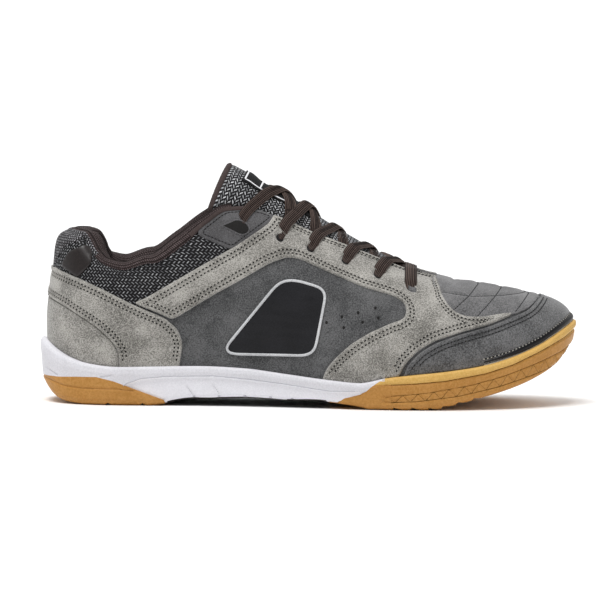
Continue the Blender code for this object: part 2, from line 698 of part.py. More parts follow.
def taut(run, heights):
    """The upper hull of a line of heights, as a cord pulled tight over them lies."""
    kept = [0]
    for i in range(1, len(run)):
        while len(kept) > 1:
            a, b = kept[-2], kept[-1]
            if (heights[b] - heights[a]) * (run[i] - run[a]) >= (heights[i] - heights[a]) * (run[b] - run[a]):
                break
            kept.pop()
        kept.append(i)
    return np.interp(run, run[kept], heights[kept])


def lace_line(start, crown, end, run):
    """Points in plan of a lace from start to end past its highest place, with half its width sideways."""
    bend = 2 * crown - (start + end) / 2
    run = run[:, None]
    middle = start * (1 - run) ** 2 + bend * 2 * run * (1 - run) + end * run**2
    way = (bend - start) * (1 - run) + (end - bend) * run
    way /= np.linalg.norm(way, axis=1, keepdims=True)
    return middle, np.stack([-way[:, 1], way[:, 0]], -1) * LACE_WIDTH / 2


def strap(name, ends, support, below, collection, finish=None):
    """A flat lace run through three places in plan, pulled tight over what is below it."""
    fine = np.linspace(-LACE_MARGIN, 1 + LACE_MARGIN, LACE_SAMPLES)
    centre, half = lace_line(*ends, fine)
    lines = []
    for place in (-1, -0.5, 0, 0.5, 1):
        spots = centre + half * place
        heights = tops(support, spots) + LACE_LIFT
        if below:
            heights = np.maximum(heights, tops(below, spots) - LACE_SINK)
        lines.append(taut(fine, heights))
    left, right = lines[0], lines[-1]
    for share, line in zip((0.25, 0.5, 0.75), lines[1:-1]):
        short = np.maximum(line - left - (right - left) * share, 0)
        left, right = left + short, right + short
    run = np.linspace(0, 1, LACE_STEPS + 1)
    middle, across = lace_line(*ends, run)
    sides = []
    for edge, line in ((middle - across, left), (middle + across, right)):
        heights = np.interp(run, fine, line)
        inner = (fine >= 0) & (fine <= 1)
        sag = np.max(line[inner] - np.interp(fine[inner], run, heights))
        sides.append(np.column_stack([edge, heights + sag]))
    bottom = np.stack(sides, 1)
    return slab(name, bottom + np.array([0, 0, LACE_THICKNESS]), bottom, collection, finish)


def throat_edge(side):
    """Points in plan of the throat's edge beside each eyelet of one side."""
    along, sides = ring(6 * STATIONS)
    points = upper_grid(6 * STATIONS, LEVELS)[0][:, -1]
    points = points[(sides == side) & (along > ROLL_END)]
    return [points[int(np.argmin(np.abs(points[:, 0] - x * SOLE_LENGTH))), :2] for x, _ in EYELETS]


def make_laces(parts, cutters, finishes, support):
    """Crossings over the tongue: from each eyelet forward to the crown, then to the far edge of the throat."""
    rows = {side: [point[:2] for point, _ in eyelet_places(side)] for side in (LATERAL, MEDIAL)}
    edge = {side: throat_edge(side) for side in (LATERAL, MEDIAL)}
    for k in range(len(EYELETS) - 1):
        crown = np.array([LACE_CROWNS[k] * SOLE_LENGTH, TONGUE_AXIS * BALL_WIDTH])
        paths = {}
        for side in (LATERAL, MEDIAL):
            far = edge[-side][k + 1][1] + side * LACE_SHORT
            paths[side] = rows[side][k], crown, np.array([crown[0] + LACE_REACH, far])
        word = "_%d" % (k + 1)
        under = strap("lace_under" + word, paths[MEDIAL], support, [], cutters)
        over = strap("lace_crossing" + word, paths[LATERAL], support, [under], parts, finishes["lace"])
        cut(over, under, "UNION")
        support = support + [over]
    last = rows[LATERAL][-1], (rows[LATERAL][-1] + rows[MEDIAL][-1]) / 2, rows[MEDIAL][-1]
    strap("lace_bar", last, support, [], parts, finishes["lace"])


def main():
    """Builds the shoe."""
    for thing in list(bpy.data.objects):
        bpy.data.objects.remove(thing)
    parts = bpy.data.collections.new("indoor_soccer_shoe")
    cutters = bpy.data.collections.new("cutters")
    for group in (parts, cutters):
        bpy.context.scene.collection.children.link(group)
    cutters.hide_render = True
    finishes = {
        "eva": material("white_eva", (0.80, 0.80, 0.84), 0.45),
        "gum": material("gum_rubber", (0.50, 0.26, 0.07), 0.5),
        "nubuck": material("dark_nubuck", (0.085, 0.088, 0.095), 0.85),
        "suede": material("light_suede", (0.34, 0.33, 0.31), 0.9),
        "toe": material("toe_nubuck", (0.065, 0.068, 0.072), 0.85),
        "smooth": material("smooth_leather", (0.03, 0.025, 0.025), 0.45),
        "inset": material("inset_film", (0.01, 0.01, 0.012), 0.55),
        "label": material("woven_label", (0.007, 0.007, 0.007), 0.8),
        "lace": material("lace_braid", (0.04, 0.031, 0.026), 0.85),
        "knit": material("knit_lining", (0.05, 0.038, 0.036), 0.9),
        "foam": material("insole_foam", (0.05, 0.05, 0.05), 0.9),
        "mesh": material("tongue_mesh", (0.06, 0.06, 0.065), 0.9),
    }
    _, heel, front = make_sole(parts, cutters, finishes)
    cut_ribs(front, cutters)
    cut_lugs(front, "forefoot_grooves", LUG_GROOVES, cutters)
    cut_lugs(heel, "heel_grooves", HEEL_GROOVES, cutters)
    upper = make_upper(parts, finishes)
    make_insole(parts, finishes)
    tongue = make_tongue(parts, finishes)
    label = make_label(parts, finishes)
    make_roll(parts, finishes)
    laced = make_overlays(parts, cutters, finishes)
    cut_eyelets([upper] + laced, cutters)
    make_laces(parts, cutters, finishes, [upper, tongue, label] + laced)


main()
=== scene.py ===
"""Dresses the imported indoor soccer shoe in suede, nubuck, mesh, rubber, stitching and lace.

The scene repeats the part's own form at a finer step, so every panel, seam and crease lies on the
same last as the solids. Lengths are metres unless a name ends in mm, and the toe points along +X.
"""

import logging
import math
from dataclasses import dataclass, field
from enum import Enum
from typing import Callable, Optional, Sequence

import bmesh
import bpy
import numpy as np
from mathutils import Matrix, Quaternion, Vector
from mathutils.bvhtree import BVHTree
from mathutils.geometry import delaunay_2d_cdt


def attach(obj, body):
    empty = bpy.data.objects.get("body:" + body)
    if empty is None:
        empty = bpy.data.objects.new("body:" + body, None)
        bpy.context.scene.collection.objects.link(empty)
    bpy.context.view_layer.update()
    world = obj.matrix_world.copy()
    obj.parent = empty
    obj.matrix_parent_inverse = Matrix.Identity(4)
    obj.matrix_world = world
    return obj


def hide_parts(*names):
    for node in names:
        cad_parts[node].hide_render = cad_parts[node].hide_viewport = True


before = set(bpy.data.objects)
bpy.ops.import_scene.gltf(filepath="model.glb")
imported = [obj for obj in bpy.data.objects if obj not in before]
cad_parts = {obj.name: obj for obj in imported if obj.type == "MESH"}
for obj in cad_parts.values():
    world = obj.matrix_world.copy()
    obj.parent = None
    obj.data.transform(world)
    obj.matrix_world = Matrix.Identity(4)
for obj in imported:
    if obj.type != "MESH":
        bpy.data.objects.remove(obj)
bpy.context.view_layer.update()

Array = np.ndarray
Table = dict[str, Array]
Face = tuple[int, ...]
Pair = tuple[float, float]
Line = Sequence[Pair]
Relief = Callable[[Array], Array]
WallRelief = Callable[[Array, Array, Array], Array]
MM = 0.001

# Driving dimensions, the same as the part's
SOLE_LENGTH = 0.290
BALL_WIDTH = 0.102
HEEL_HEIGHT = 0.091
INSTEP_HEIGHT = 0.107
BED_HEIGHT = 0.017
FEATHER_INSET = 0.0055
TONGUE_TILT = 30.0
TONGUE_AXIS = -0.022


def table(names: str, *rows: tuple[float, ...]) -> Table:
    """Rows of numbers as one named column for each word in names."""
    return dict(zip(names.split(), np.array(rows, float).T))


# Plan of the sole: centre line and half width as shares of BALL_WIDTH, along as a share of SOLE_LENGTH
PLAN = table(
    "along axis half",
    (0.0, -0.005, 0.365),
    (0.15, -0.005, 0.365),
    (0.24, -0.012, 0.353),
    (0.345, -0.035, 0.33),
    (0.43, -0.055, 0.34),
    (0.517, -0.062, 0.383),
    (0.603, -0.045, 0.445),
    (0.707, -0.01, 0.495),
    (0.76, 0.01, 0.5),
    (0.86, 0.045, 0.5),
    (1.0, 0.09, 0.5),
)

# Heights of the sole along it: underside, rim and foot bed, as shares of BED_HEIGHT
SOLE = table(
    "along under rim bed",
    (0.0, 0.55, 2.06, 1.0),
    (0.022, 0.18, 1.76, 1.0),
    (0.05, 0.05, 1.5, 1.0),
    (0.085, 0.0, 1.33, 0.99),
    (0.15, 0.0, 1.22, 0.975),
    (0.205, 0.0, 1.24, 0.96),
    (0.3, 0.29, 1.27, 0.92),
    (0.384, 0.37, 1.22, 0.85),
    (0.46, 0.31, 1.07, 0.78),
    (0.55, 0.18, 0.9, 0.68),
    (0.6, 0.06, 0.84, 0.63),
    (0.615, 0.0, 0.88, 0.615),
    (0.645, 0.0, 1.0, 0.59),
    (0.7, 0.0, 1.12, 0.58),
    (0.735, 0.0, 1.18, 0.6),
    (0.77, 0.12, 1.25, 0.63),
    (0.834, 0.39, 1.42, 0.78),
    (0.883, 0.62, 1.65, 0.95),
    (0.934, 0.95, 2.02, 1.2),
    (0.972, 1.33, 2.42, 1.45),
    (1.0, 1.95, 2.72, 1.65),
)

# Top line of the upper round collar and throat, for each station along the feather line.
# back is a share of SOLE_LENGTH, axis, wide and bulge of BALL_WIDTH; heel and instep add up to the height
TOP_LINE = table(
    "along back axis wide heel instep drop round bulge",
    (0.0, 0.05, -0.005, 0.245, 1.01, 0.0, 0.05, 5.0, 0.02),
    (0.04, 0.077, -0.005, 0.25, 1.0, 0.0, 0.05, 5.0, 0.022),
    (0.075, 0.098, -0.006, 0.275, 0.895, 0.0, 0.05, 5.0, 0.025),
    (0.11, 0.121, -0.008, 0.29, 0.835, 0.0, 0.06, 4.5, 0.028),
    (0.16, 0.157, -0.01, 0.3, 0.805, 0.0, 0.08, 4.0, 0.028),
    (0.22, 0.207, -0.015, 0.3, 0.848, 0.0, 0.1, 3.6, 0.028),
    (0.28, 0.262, -0.018, 0.285, 0.568, 0.33, 0.12, 3.2, 0.026),
    (0.33, 0.308, -0.02, 0.258, 0.25, 0.708, 0.15, 3.0, 0.026),
    (0.375, 0.348, -0.022, 0.23, 0.0, 0.986, 0.18, 2.9, 0.026),
    (0.42, 0.39, -0.024, 0.205, 0.0, 0.99, 0.22, 2.8, 0.026),
    (0.47, 0.434, -0.028, 0.188, 0.0, 0.957, 0.26, 2.7, 0.026),
    (0.54, 0.503, -0.03, 0.176, 0.0, 0.875, 0.3, 2.7, 0.026),
    (0.62, 0.572, -0.024, 0.166, 0.0, 0.802, 0.32, 2.8, 0.026),
    (0.7, 0.631, -0.014, 0.156, 0.0, 0.737, 0.32, 3.0, 0.028),
    (0.78, 0.679, -0.004, 0.146, 0.0, 0.684, 0.32, 3.4, 0.03),
    (0.87, 0.717, 0.006, 0.134, 0.0, 0.651, 0.31, 4.4, 0.03),
    (0.94, 0.732, 0.01, 0.128, 0.0, 0.643, 0.3, 5.2, 0.03),
    (1.0, 0.738, 0.012, 0.125, 0.0, 0.64, 0.3, 5.6, 0.03),
)

# Tongue from its buried front end to its top: the points that pass under the throat's edges, as
# shares of SOLE_LENGTH, INSTEP_HEIGHT and BALL_WIDTH, then its crown and skirt as shares of BALL_WIDTH
TONGUE = table(
    "back tall wide crown skirt",
    (0.745, 0.576, 0.098, 0.012, 0.03),
    (0.714, 0.617, 0.103, 0.02, 0.03),
    (0.676, 0.659, 0.125, 0.035, 0.04),
    (0.628, 0.713, 0.137, 0.051, 0.05),
    (0.569, 0.78, 0.149, 0.071, 0.06),
    (0.5, 0.853, 0.159, 0.106, 0.07),
    (0.431, 0.935, 0.171, 0.133, 0.08),
    (0.387, 0.968, 0.186, 0.16, 0.08),
    (0.353, 0.985, 0.206, 0.205, 0.08),
    (0.334, 1.004, 0.23, 0.212, 0.06),
    (0.317, 1.037, 0.228, 0.205, 0.02),
)

# Outlines seen from the side: along as a share of SOLE_LENGTH, up as a share of INSTEP_HEIGHT
COUNTER_TOP = (
    (-0.05, 0.712), (0.014, 0.692), (0.028, 0.676), (0.07, 0.64), (0.118, 0.585),
    (0.175, 0.51), (0.237, 0.441), (0.26, 0.384), (0.269, 0.318), (0.266, 0.262), (0.258, 0.1),
)
COUNTER_SPLIT = (
    (-0.05, 0.59), (0.009, 0.538), (0.045, 0.497), (0.077, 0.447), (0.107, 0.397),
    (0.134, 0.332), (0.149, 0.274), (0.152, 0.1),
)
SUEDE = (
    (0.175, 0.518), (0.197, 0.54), (0.293, 0.693), (0.365, 0.808), (0.427, 0.921), (0.452, 1.06),
    (0.545, 1.0), (0.7, 0.8), (0.733, 0.69), (0.745, 0.586), (0.755, 0.537), (0.771, 0.489),
    (0.793, 0.465), (0.824, 0.462), (0.859, 0.476), (0.884, 0.48), (0.878, 0.466), (0.833, 0.422),
    (0.783, 0.388), (0.737, 0.347), (0.707, 0.299), (0.683, 0.232), (0.668, 0.15), (0.524, 0.1),
    (0.536, 0.199), (0.555, 0.261), (0.581, 0.326), (0.617, 0.387), (0.656, 0.435), (0.68, 0.455),
    (0.685, 0.489), (0.68, 0.537), (0.656, 0.571), (0.606, 0.607), (0.533, 0.688), (0.485, 0.747),
    (0.461, 0.756), (0.427, 0.722), (0.377, 0.641), (0.322, 0.556), (0.248, 0.432), (0.237, 0.452),
)
TOE_CAP = (
    (0.672, 0.1), (0.687, 0.224), (0.711, 0.291), (0.74, 0.339), (0.785, 0.38), (0.835, 0.414),
    (0.886, 0.462), (0.911, 0.489), (0.934, 0.551), (0.944, 0.62),
)
EYELET_TAB = (
    (0.294, 0.858), (0.298, 1.1), (0.44, 1.1), (0.452, 0.975), (0.43, 0.924), (0.361, 0.785),
)
HEEL_PATCH = ((0.04, 0.69), (0.055, 0.765), (0.084, 0.802), (0.097, 0.78), (0.099, 0.715), (0.072, 0.635))
SIDE_INSET = (
    (0.345, 0.285), (0.44, 0.61), (0.455, 0.64), (0.48, 0.64), (0.525, 0.605), (0.535, 0.585),
    (0.515, 0.285), (0.5, 0.265), (0.355, 0.265),
)
EYELETS = ((0.368, 0.905), (0.447, 0.848), (0.504, 0.795), (0.569, 0.733), (0.629, 0.664), (0.69, 0.6))
LACE_CROWNS = (0.45, 0.5, 0.551, 0.611, 0.665)

# Edges of the cloth, seams and holes of the upper, in the same shares
HEEL_TOP = ((0.028, 0.69), (0.043, 0.783), (0.079, 0.828), (0.083, 0.905), (0.084, 1.0))
MESH_LINE = (
    (-1.0, 0.66), (0.014, 0.66), (0.07, 0.6), (0.118, 0.54), (0.19, 0.45), (0.222, 0.486),
    (0.307, 0.625), (0.371, 0.725), (0.427, 0.82), (0.46, 1.2),
)
VAMP = (
    (0.69, 0.56), (0.735, 0.58), (0.748, 0.53), (0.768, 0.478), (0.793, 0.452), (0.826, 0.448),
    (0.86, 0.462), (0.884, 0.47), (0.911, 0.495), (0.934, 0.556), (0.944, 0.625),
)
QUILT_SEAMS = (
    ((0.746, 0.579), (0.776, 0.566), (0.805, 0.556), (0.86, 0.556), (0.92, 0.563), (0.942, 0.573)),
    ((0.764, 0.48), (0.8, 0.561), (0.824, 0.632)),
    ((0.815, 0.465), (0.843, 0.541), (0.872, 0.625)),
    ((0.886, 0.484), (0.908, 0.553), (0.929, 0.607)),
)
FLEX_CREASE = ((0.746, 0.589), (0.765, 0.608), (0.783, 0.645))
PERFORATIONS = (
    (0.536, 0.4335), (0.5645, 0.463), (0.5944, 0.485), (0.6264, 0.5098),
    (0.5681, 0.409), (0.6029, 0.438), (0.632, 0.4603),
)

# Lines on the sole's side, in the same shares: first the two joints between foam and gum
HEEL_GUM = (
    (0.034, 0.134), (0.07, 0.14), (0.108, 0.142), (0.141, 0.121), (0.181, 0.081), (0.236, 0.026),
    (0.236, -0.1),
)
FRONT_GUM = ((0.541, 0.02), (0.569, 0.038), (0.6, 0.064), (0.619, 0.113), (0.636, 0.146))
EVA_GROOVE = (
    (0.15, 0.08), (0.1637, 0.109), (0.19, 0.136), (0.237, 0.149), (0.325, 0.154), (0.389, 0.141),
    (0.461, 0.119), (0.51, 0.101), (0.544, 0.09), (0.6, 0.093),
)
EVA_MARKS = (
    ((0.0094, 0.1728), (0.0312, 0.1433)),
    ((0.1176, 0.1427), (0.1368, 0.15)),
    ((0.2765, 0.0996), (0.2906, 0.0468)),
    ((0.3254, 0.107), (0.3367, 0.0618)),
)
EVA_NOTCHES = (0.2906, 0.3373, 0.3841, 0.4307, 0.4703)
HEEL_GROOVE_LINE = (
    (0.0, 0.126), (0.009, 0.121), (0.045, 0.091), (0.081, 0.083), (0.141, 0.083), (0.177, 0.074),
)
RAND_LINE = (
    (0.645, 0.128), (0.6565, 0.1275), (0.707, 0.135), (0.758, 0.148), (0.833, 0.1835), (0.884, 0.224),
    (0.935, 0.2855), (0.985, 0.352), (1.0, 0.38),
)
ZIGZAG_TOP = (
    (0.61, 0.012), (0.642, 0.066), (0.724, 0.087), (0.808, 0.127), (0.867, 0.168), (0.927, 0.224),
    (0.973, 0.273), (1.0, 0.31),
)
ZIGZAG_FOOT = (
    (0.61, 0.01), (0.645, 0.036), (0.707, 0.044), (0.783, 0.07), (0.86, 0.115), (0.927, 0.17),
    (0.973, 0.215), (1.0, 0.25),
)
# Places along, as shares of SOLE_LENGTH: cuts in the lower edges, start of the toe's gloss strip,
# both ends of the eyelet tab's binding, ends of foam and heel wedge, start of the forefoot unit
LUG_TEETH = (0.662, 0.698, 0.73, 0.756, 0.784, 0.814)
HEEL_GROOVES = (0.13, 0.195)
STRIP_START = 0.838
TAB_EDGE = (0.3, 0.412)
EVA_END = 0.640
HEEL_END = 0.240
FRONT_START = 0.538
# Length of one tooth of the zigzag band, in millimetres
ZIGZAG_PITCH = 8.45
# In metres: how far the foam's lower edge hangs down in the arch, and length and height of the cuts
ARCH_DROP = 0.0019
LUG_CUT = (0.0042, 0.0013)
HEEL_CUT = (0.0016, 0.0014)
NOTCH_CUT = (0.0022, 0.0028)


class Side(Enum):
    """The two sides of the foot, as the sign that they have across the shoe."""

    LATERAL = 1
    MEDIAL = -1


def smooth(columns: Table, name: str, at: Array) -> Array:
    """Monotone cubic curve through one column of a table.

    Args:
        columns: a table with an along column.
        name: the column wanted.
        at: places along.

    Returns:
        The column's value at each place.
    """
    xs, ys = columns["along"], columns[name]
    steps = np.diff(xs)
    slopes = np.diff(ys) / steps
    ends = np.zeros_like(ys)
    ends[0], ends[-1] = slopes[0], slopes[-1]
    for i in range(1, len(xs) - 1):
        if slopes[i - 1] * slopes[i] > 0:
            first, second = 2 * steps[i] + steps[i - 1], steps[i] + 2 * steps[i - 1]
            ends[i] = (first + second) / (first / slopes[i - 1] + second / slopes[i])
    at = np.clip(np.asarray(at, float), xs[0], xs[-1])
    k = np.clip(np.searchsorted(xs, at) - 1, 0, len(xs) - 2)
    t = (at - xs[k]) / steps[k]
    return (
        (2 * t**3 - 3 * t**2 + 1) * ys[k]
        + (t**3 - 2 * t**2 + t) * steps[k] * ends[k]
        + (3 * t**2 - 2 * t**3) * ys[k + 1]
        + (t**3 - t**2) * steps[k] * ends[k + 1]
    )


def ring(count: int) -> tuple[Array, Array]:
    """Stations once round the shoe, heel to little-toe side to toe to big-toe side.

    Args:
        count: stations from heel to toe.

    Returns:
        The share along and the side (-1 little-toe side) of each station.
    """
    shares = (1 - np.cos(np.linspace(0, math.pi, count + 1))) / 2
    along = np.concatenate([shares, shares[-2:0:-1]])
    return along, np.where(np.arange(2 * count) <= count, -1, 1)


def end_round(along: Array) -> Array:
    """Rounds the plan to nothing at heel and toe."""
    heel = np.clip((0.138 - along) / 0.138, 0, 1)
    toe = np.clip((along - 0.741) / 0.259, 0, 1)
    return (1 - heel**2) ** 0.45 * (1 - toe**2) ** 0.52


def plan(along: Array, side: Array, inset: float = 0.0) -> Array:
    """Points in plan on the sole's outline, or inside it by inset."""
    half = smooth(PLAN, "half", along) * BALL_WIDTH * end_round(along) * (1 - 2 * inset / BALL_WIDTH)
    x = inset + along * (SOLE_LENGTH - 2 * inset)
    return np.stack([x, smooth(PLAN, "axis", along) * BALL_WIDTH + side * half], -1)


def outward(points: Array) -> Array:
    """Unit normals in plan of a closed ring that runs anticlockwise seen from above."""
    run = np.roll(points, -1, 0) - np.roll(points, 1, 0)
    return unit(np.stack([run[:, 1], -run[:, 0]], -1))


def sole_height(name: str, x: Array) -> Array:
    """Height of the underside, rim or foot bed at a place along the shoe."""
    return smooth(SOLE, name, x / SOLE_LENGTH) * BED_HEIGHT


def sole_foot(x: Array) -> Array:
    """Height of the sole's lower edge, let down under the arch where the foam turns in."""
    share = x / SOLE_LENGTH
    drop = ARCH_DROP * step_up(share - 0.25, 0.08)
    return sole_height("under", x) - drop * (1 - step_up(share - 0.45, 0.08))


def rim_heights(along: Array, side: Array) -> Array:
    """Height of the sole's rim at each station of a closed ring."""
    edge = plan(along, side)
    return sole_height("rim", (edge - outward(edge) * 0.22 * FEATHER_INSET)[:, 0])


def meridians(along: Array, side: Array, steps: int) -> Array:
    """Curves from feather line to top line, one for each station of a closed ring."""
    foot = plan(along, side, FEATHER_INSET)
    normal = outward(foot)
    half = smooth(TOP_LINE, "wide", along) * BALL_WIDTH * end_round(along)
    top_x = smooth(TOP_LINE, "back", along) * SOLE_LENGTH
    top_y = smooth(TOP_LINE, "axis", along) * BALL_WIDTH + side * half
    low = smooth(SOLE, "bed", along) * BED_HEIGHT
    high = smooth(TOP_LINE, "heel", along) * HEEL_HEIGHT + smooth(TOP_LINE, "instep", along) * INSTEP_HEIGHT
    drop = smooth(TOP_LINE, "drop", along)[:, None]
    power = 2 / smooth(TOP_LINE, "round", along)[:, None]
    bulge = smooth(TOP_LINE, "bulge", along)[:, None] * BALL_WIDTH
    turn = np.linspace(0, math.pi / 2, steps)
    lean = 1 - np.maximum(np.cos(turn), 0)[None] ** power
    rise = (1 - drop * (1 - lean)) * np.sin(turn)[None] ** power
    swell = bulge * np.sin(math.pi * rise**1.1)
    x = foot[:, :1] + (top_x[:, None] - foot[:, :1]) * lean + normal[:, :1] * swell
    y = foot[:, 1:] + (top_y[:, None] - foot[:, 1:]) * lean + normal[:, 1:] * swell
    z = low[:, None] + (high - low)[:, None] * rise
    return np.stack([x, y, z], -1)


def unit(vectors: Array) -> Array:
    """Rows of vectors at unit length."""
    return vectors / np.linalg.norm(vectors, axis=1, keepdims=True)


def run_of(path: Array) -> Array:
    """Distance along a path of each of its points."""
    return np.concatenate([[0], np.cumsum(np.linalg.norm(np.diff(path, axis=0), axis=1))])


def points_at(at: Array, run: Array, path: Array) -> Array:
    """Points of a path at distances along it."""
    return np.stack([np.interp(at, run, path[:, i]) for i in range(path.shape[1])], -1)


def resample(path: Array, step: float) -> Array:
    """Points along a path at an even step, its ends kept."""
    run = run_of(path)
    count = max(2, int(round(run[-1] / step)) + 1)
    return points_at(np.linspace(0, run[-1], count), run, path)


def soften(path: Array, reach: int, closed: bool, times: int = 1) -> Array:
    """Rounds the corners of an evenly spaced path with a running mean, its open ends kept."""
    width = 2 * reach + 1
    mean = np.ones(width) / width
    for _ in range(times):
        if closed:
            wrap = np.concatenate([path[-reach:], path, path[:reach]])
        else:
            wrap = np.pad(path, ((reach, reach), (0, 0)), "edge")
        out = np.stack([np.convolve(column, mean, "valid") for column in wrap.T], -1)
        if not closed:
            out[0], out[-1] = path[0], path[-1]
        path = out
    return path


def distance(spots: Array, path: Array, closed: bool) -> Array:
    """Distance of each flat spot from a flat path, worked out in blocks to save memory."""
    a = path if closed else path[:-1]
    b = np.roll(path, -1, 0) if closed else path[1:]
    run = b - a
    size = np.maximum((run**2).sum(1), 1e-12)
    found = []
    for block in np.array_split(spots, max(1, len(spots) // 4000)):
        t = np.clip(((block[:, None] - a[None]) * run[None]).sum(2) / size[None], 0, 1)
        near = a[None] + run[None] * t[..., None]
        found.append(np.sqrt(((block[:, None] - near) ** 2).sum(2)).min(1))
    return np.concatenate(found)


def inside(spots: Array, loop: Array) -> Array:
    """Whether each flat spot is inside a closed loop."""
    x, y = spots[:, 0][:, None], spots[:, 1][:, None]
    ax, ay = loop[:, 0][None], loop[:, 1][None]
    bx, by = np.roll(loop[:, 0], -1)[None], np.roll(loop[:, 1], -1)[None]
    over = (ay > y) != (by > y)
    with np.errstate(divide="ignore", invalid="ignore"):
        cross = ax + (y - ay) * (bx - ax) / (by - ay)
    return (over & (x < cross)).sum(1) % 2 == 1


def line_height(line: Line, x: Array) -> Array:
    """Height in metres of a side-view line at places along the shoe in metres."""
    spots = np.array(line)
    return np.interp(x / SOLE_LENGTH, spots[:, 0], spots[:, 1]) * INSTEP_HEIGHT


def step_up(value: Array, width: float) -> Array:
    """A soft step from 0 to 1 as value goes from 0 to width."""
    t = np.clip(value / width, 0, 1)
    return t * t * (3 - 2 * t)


def turn_at(share: float) -> float:
    """The turn (0 heel, 0.5 toe) of a share along the shoe."""
    return math.acos(1 - 2 * share) / (2 * math.pi)


def place(points: Array) -> Array:
    """Shoe coordinates moved so that the origin is under the middle of the sole."""
    edge = plan(*ring(200))
    middle = (edge.min(0) + edge.max(0)) / 2
    return np.asarray(points, float) - np.array([middle[0], middle[1], 0])


def linear(code: str) -> tuple[float, float, float, float]:
    """An sRGB hex colour as the linear colour that shaders take."""
    parts = [int(code[i : i + 2], 16) / 255 for i in (1, 3, 5)]
    return (*[c / 12.92 if c <= 0.04045 else ((c + 0.055) / 1.055) ** 2.4 for c in parts], 1.0)


def add_node(
    tree: bpy.types.NodeTree, kind: str, settings: Optional[dict] = None, **links: object
) -> bpy.types.Node:
    """Adds a shader node.

    Args:
        tree: the material's nodes.
        kind: the node's type, without its ShaderNode prefix.
        settings: properties of the node.
        links: for each input, named with underscores for spaces or by _ and its number, a socket, a
            node for its first output, or a value.

    Returns:
        The node.
    """
    node = tree.nodes.new("ShaderNode" + kind)
    for key, value in (settings or {}).items():
        setattr(node, key, value)
    for key, value in links.items():
        socket = node.inputs[int(key[1:])] if key[1:].isdigit() else node.inputs[key.replace("_", " ")]
        value = value.outputs[0] if isinstance(value, bpy.types.Node) else value
        if isinstance(value, bpy.types.NodeSocket):
            tree.links.new(value, socket)
        else:
            socket.default_value = value
    return node


# Materials made so far, by the name of their finish
MADE: dict[str, bpy.types.Material] = {}


@dataclass(frozen=True)
class Finish:
    """What every finish has: its colour, a second tone that drifts through it, gloss and a fine grain.

    The grain's bumps are bump_mm high and grain_mm apart, and the tones drift over drift_mm.
    """

    name: str
    colour: str
    tone: str
    roughness: float
    grain_mm: float
    bump_mm: float
    sheen: float = 0.0
    drift_mm: float = 14.0
    gloss: float = 0.15

    def pattern(self, tree: bpy.types.NodeTree) -> tuple[bpy.types.NodeSocket, bpy.types.NodeSocket]:
        """Colour and height of the surface, here a fine grain over a slow drift of tone."""
        spot = add_node(tree, "TexCoord").outputs["Object"]
        fine, slow = 1 / (self.grain_mm * MM), 1 / (self.drift_mm * MM)
        grain = add_node(tree, "TexNoise", Vector=spot, Scale=fine, Detail=3.0, Roughness=0.65)
        drift = add_node(tree, "TexNoise", Vector=spot, Scale=slow, Detail=2.0)
        both = add_node(tree, "Math", {"operation": "MULTIPLY_ADD"}, _0=drift, _1=0.4, _2=grain)
        share = add_node(tree, "MapRange", Value=both, From_Min=0.56, From_Max=0.84)
        tones = {"_6": linear(self.colour), "_7": linear(self.tone)}
        tint = add_node(tree, "Mix", {"data_type": "RGBA"}, _0=share, **tones)
        return tint.outputs[2], grain.outputs[0]

    def build(self) -> bpy.types.Material:
        """The material, made once for each finish."""
        if self.name in MADE:
            return MADE[self.name]
        material = MADE.setdefault(self.name, bpy.data.materials.new(self.name))
        material.use_nodes = True
        tree = material.node_tree
        shader = tree.nodes["Principled BSDF"]
        colour, height = self.pattern(tree)
        tree.links.new(colour, shader.inputs["Base Color"])
        bump = add_node(tree, "Bump", Height=height, Strength=1.0, Distance=self.bump_mm * MM)
        tree.links.new(bump.outputs[0], shader.inputs["Normal"])
        shader.inputs["Roughness"].default_value = self.roughness
        shader.inputs["Sheen Weight"].default_value = self.sheen
        shader.inputs["Sheen Roughness"].default_value = 0.6
        shader.inputs["Specular IOR Level"].default_value = self.gloss
        return material


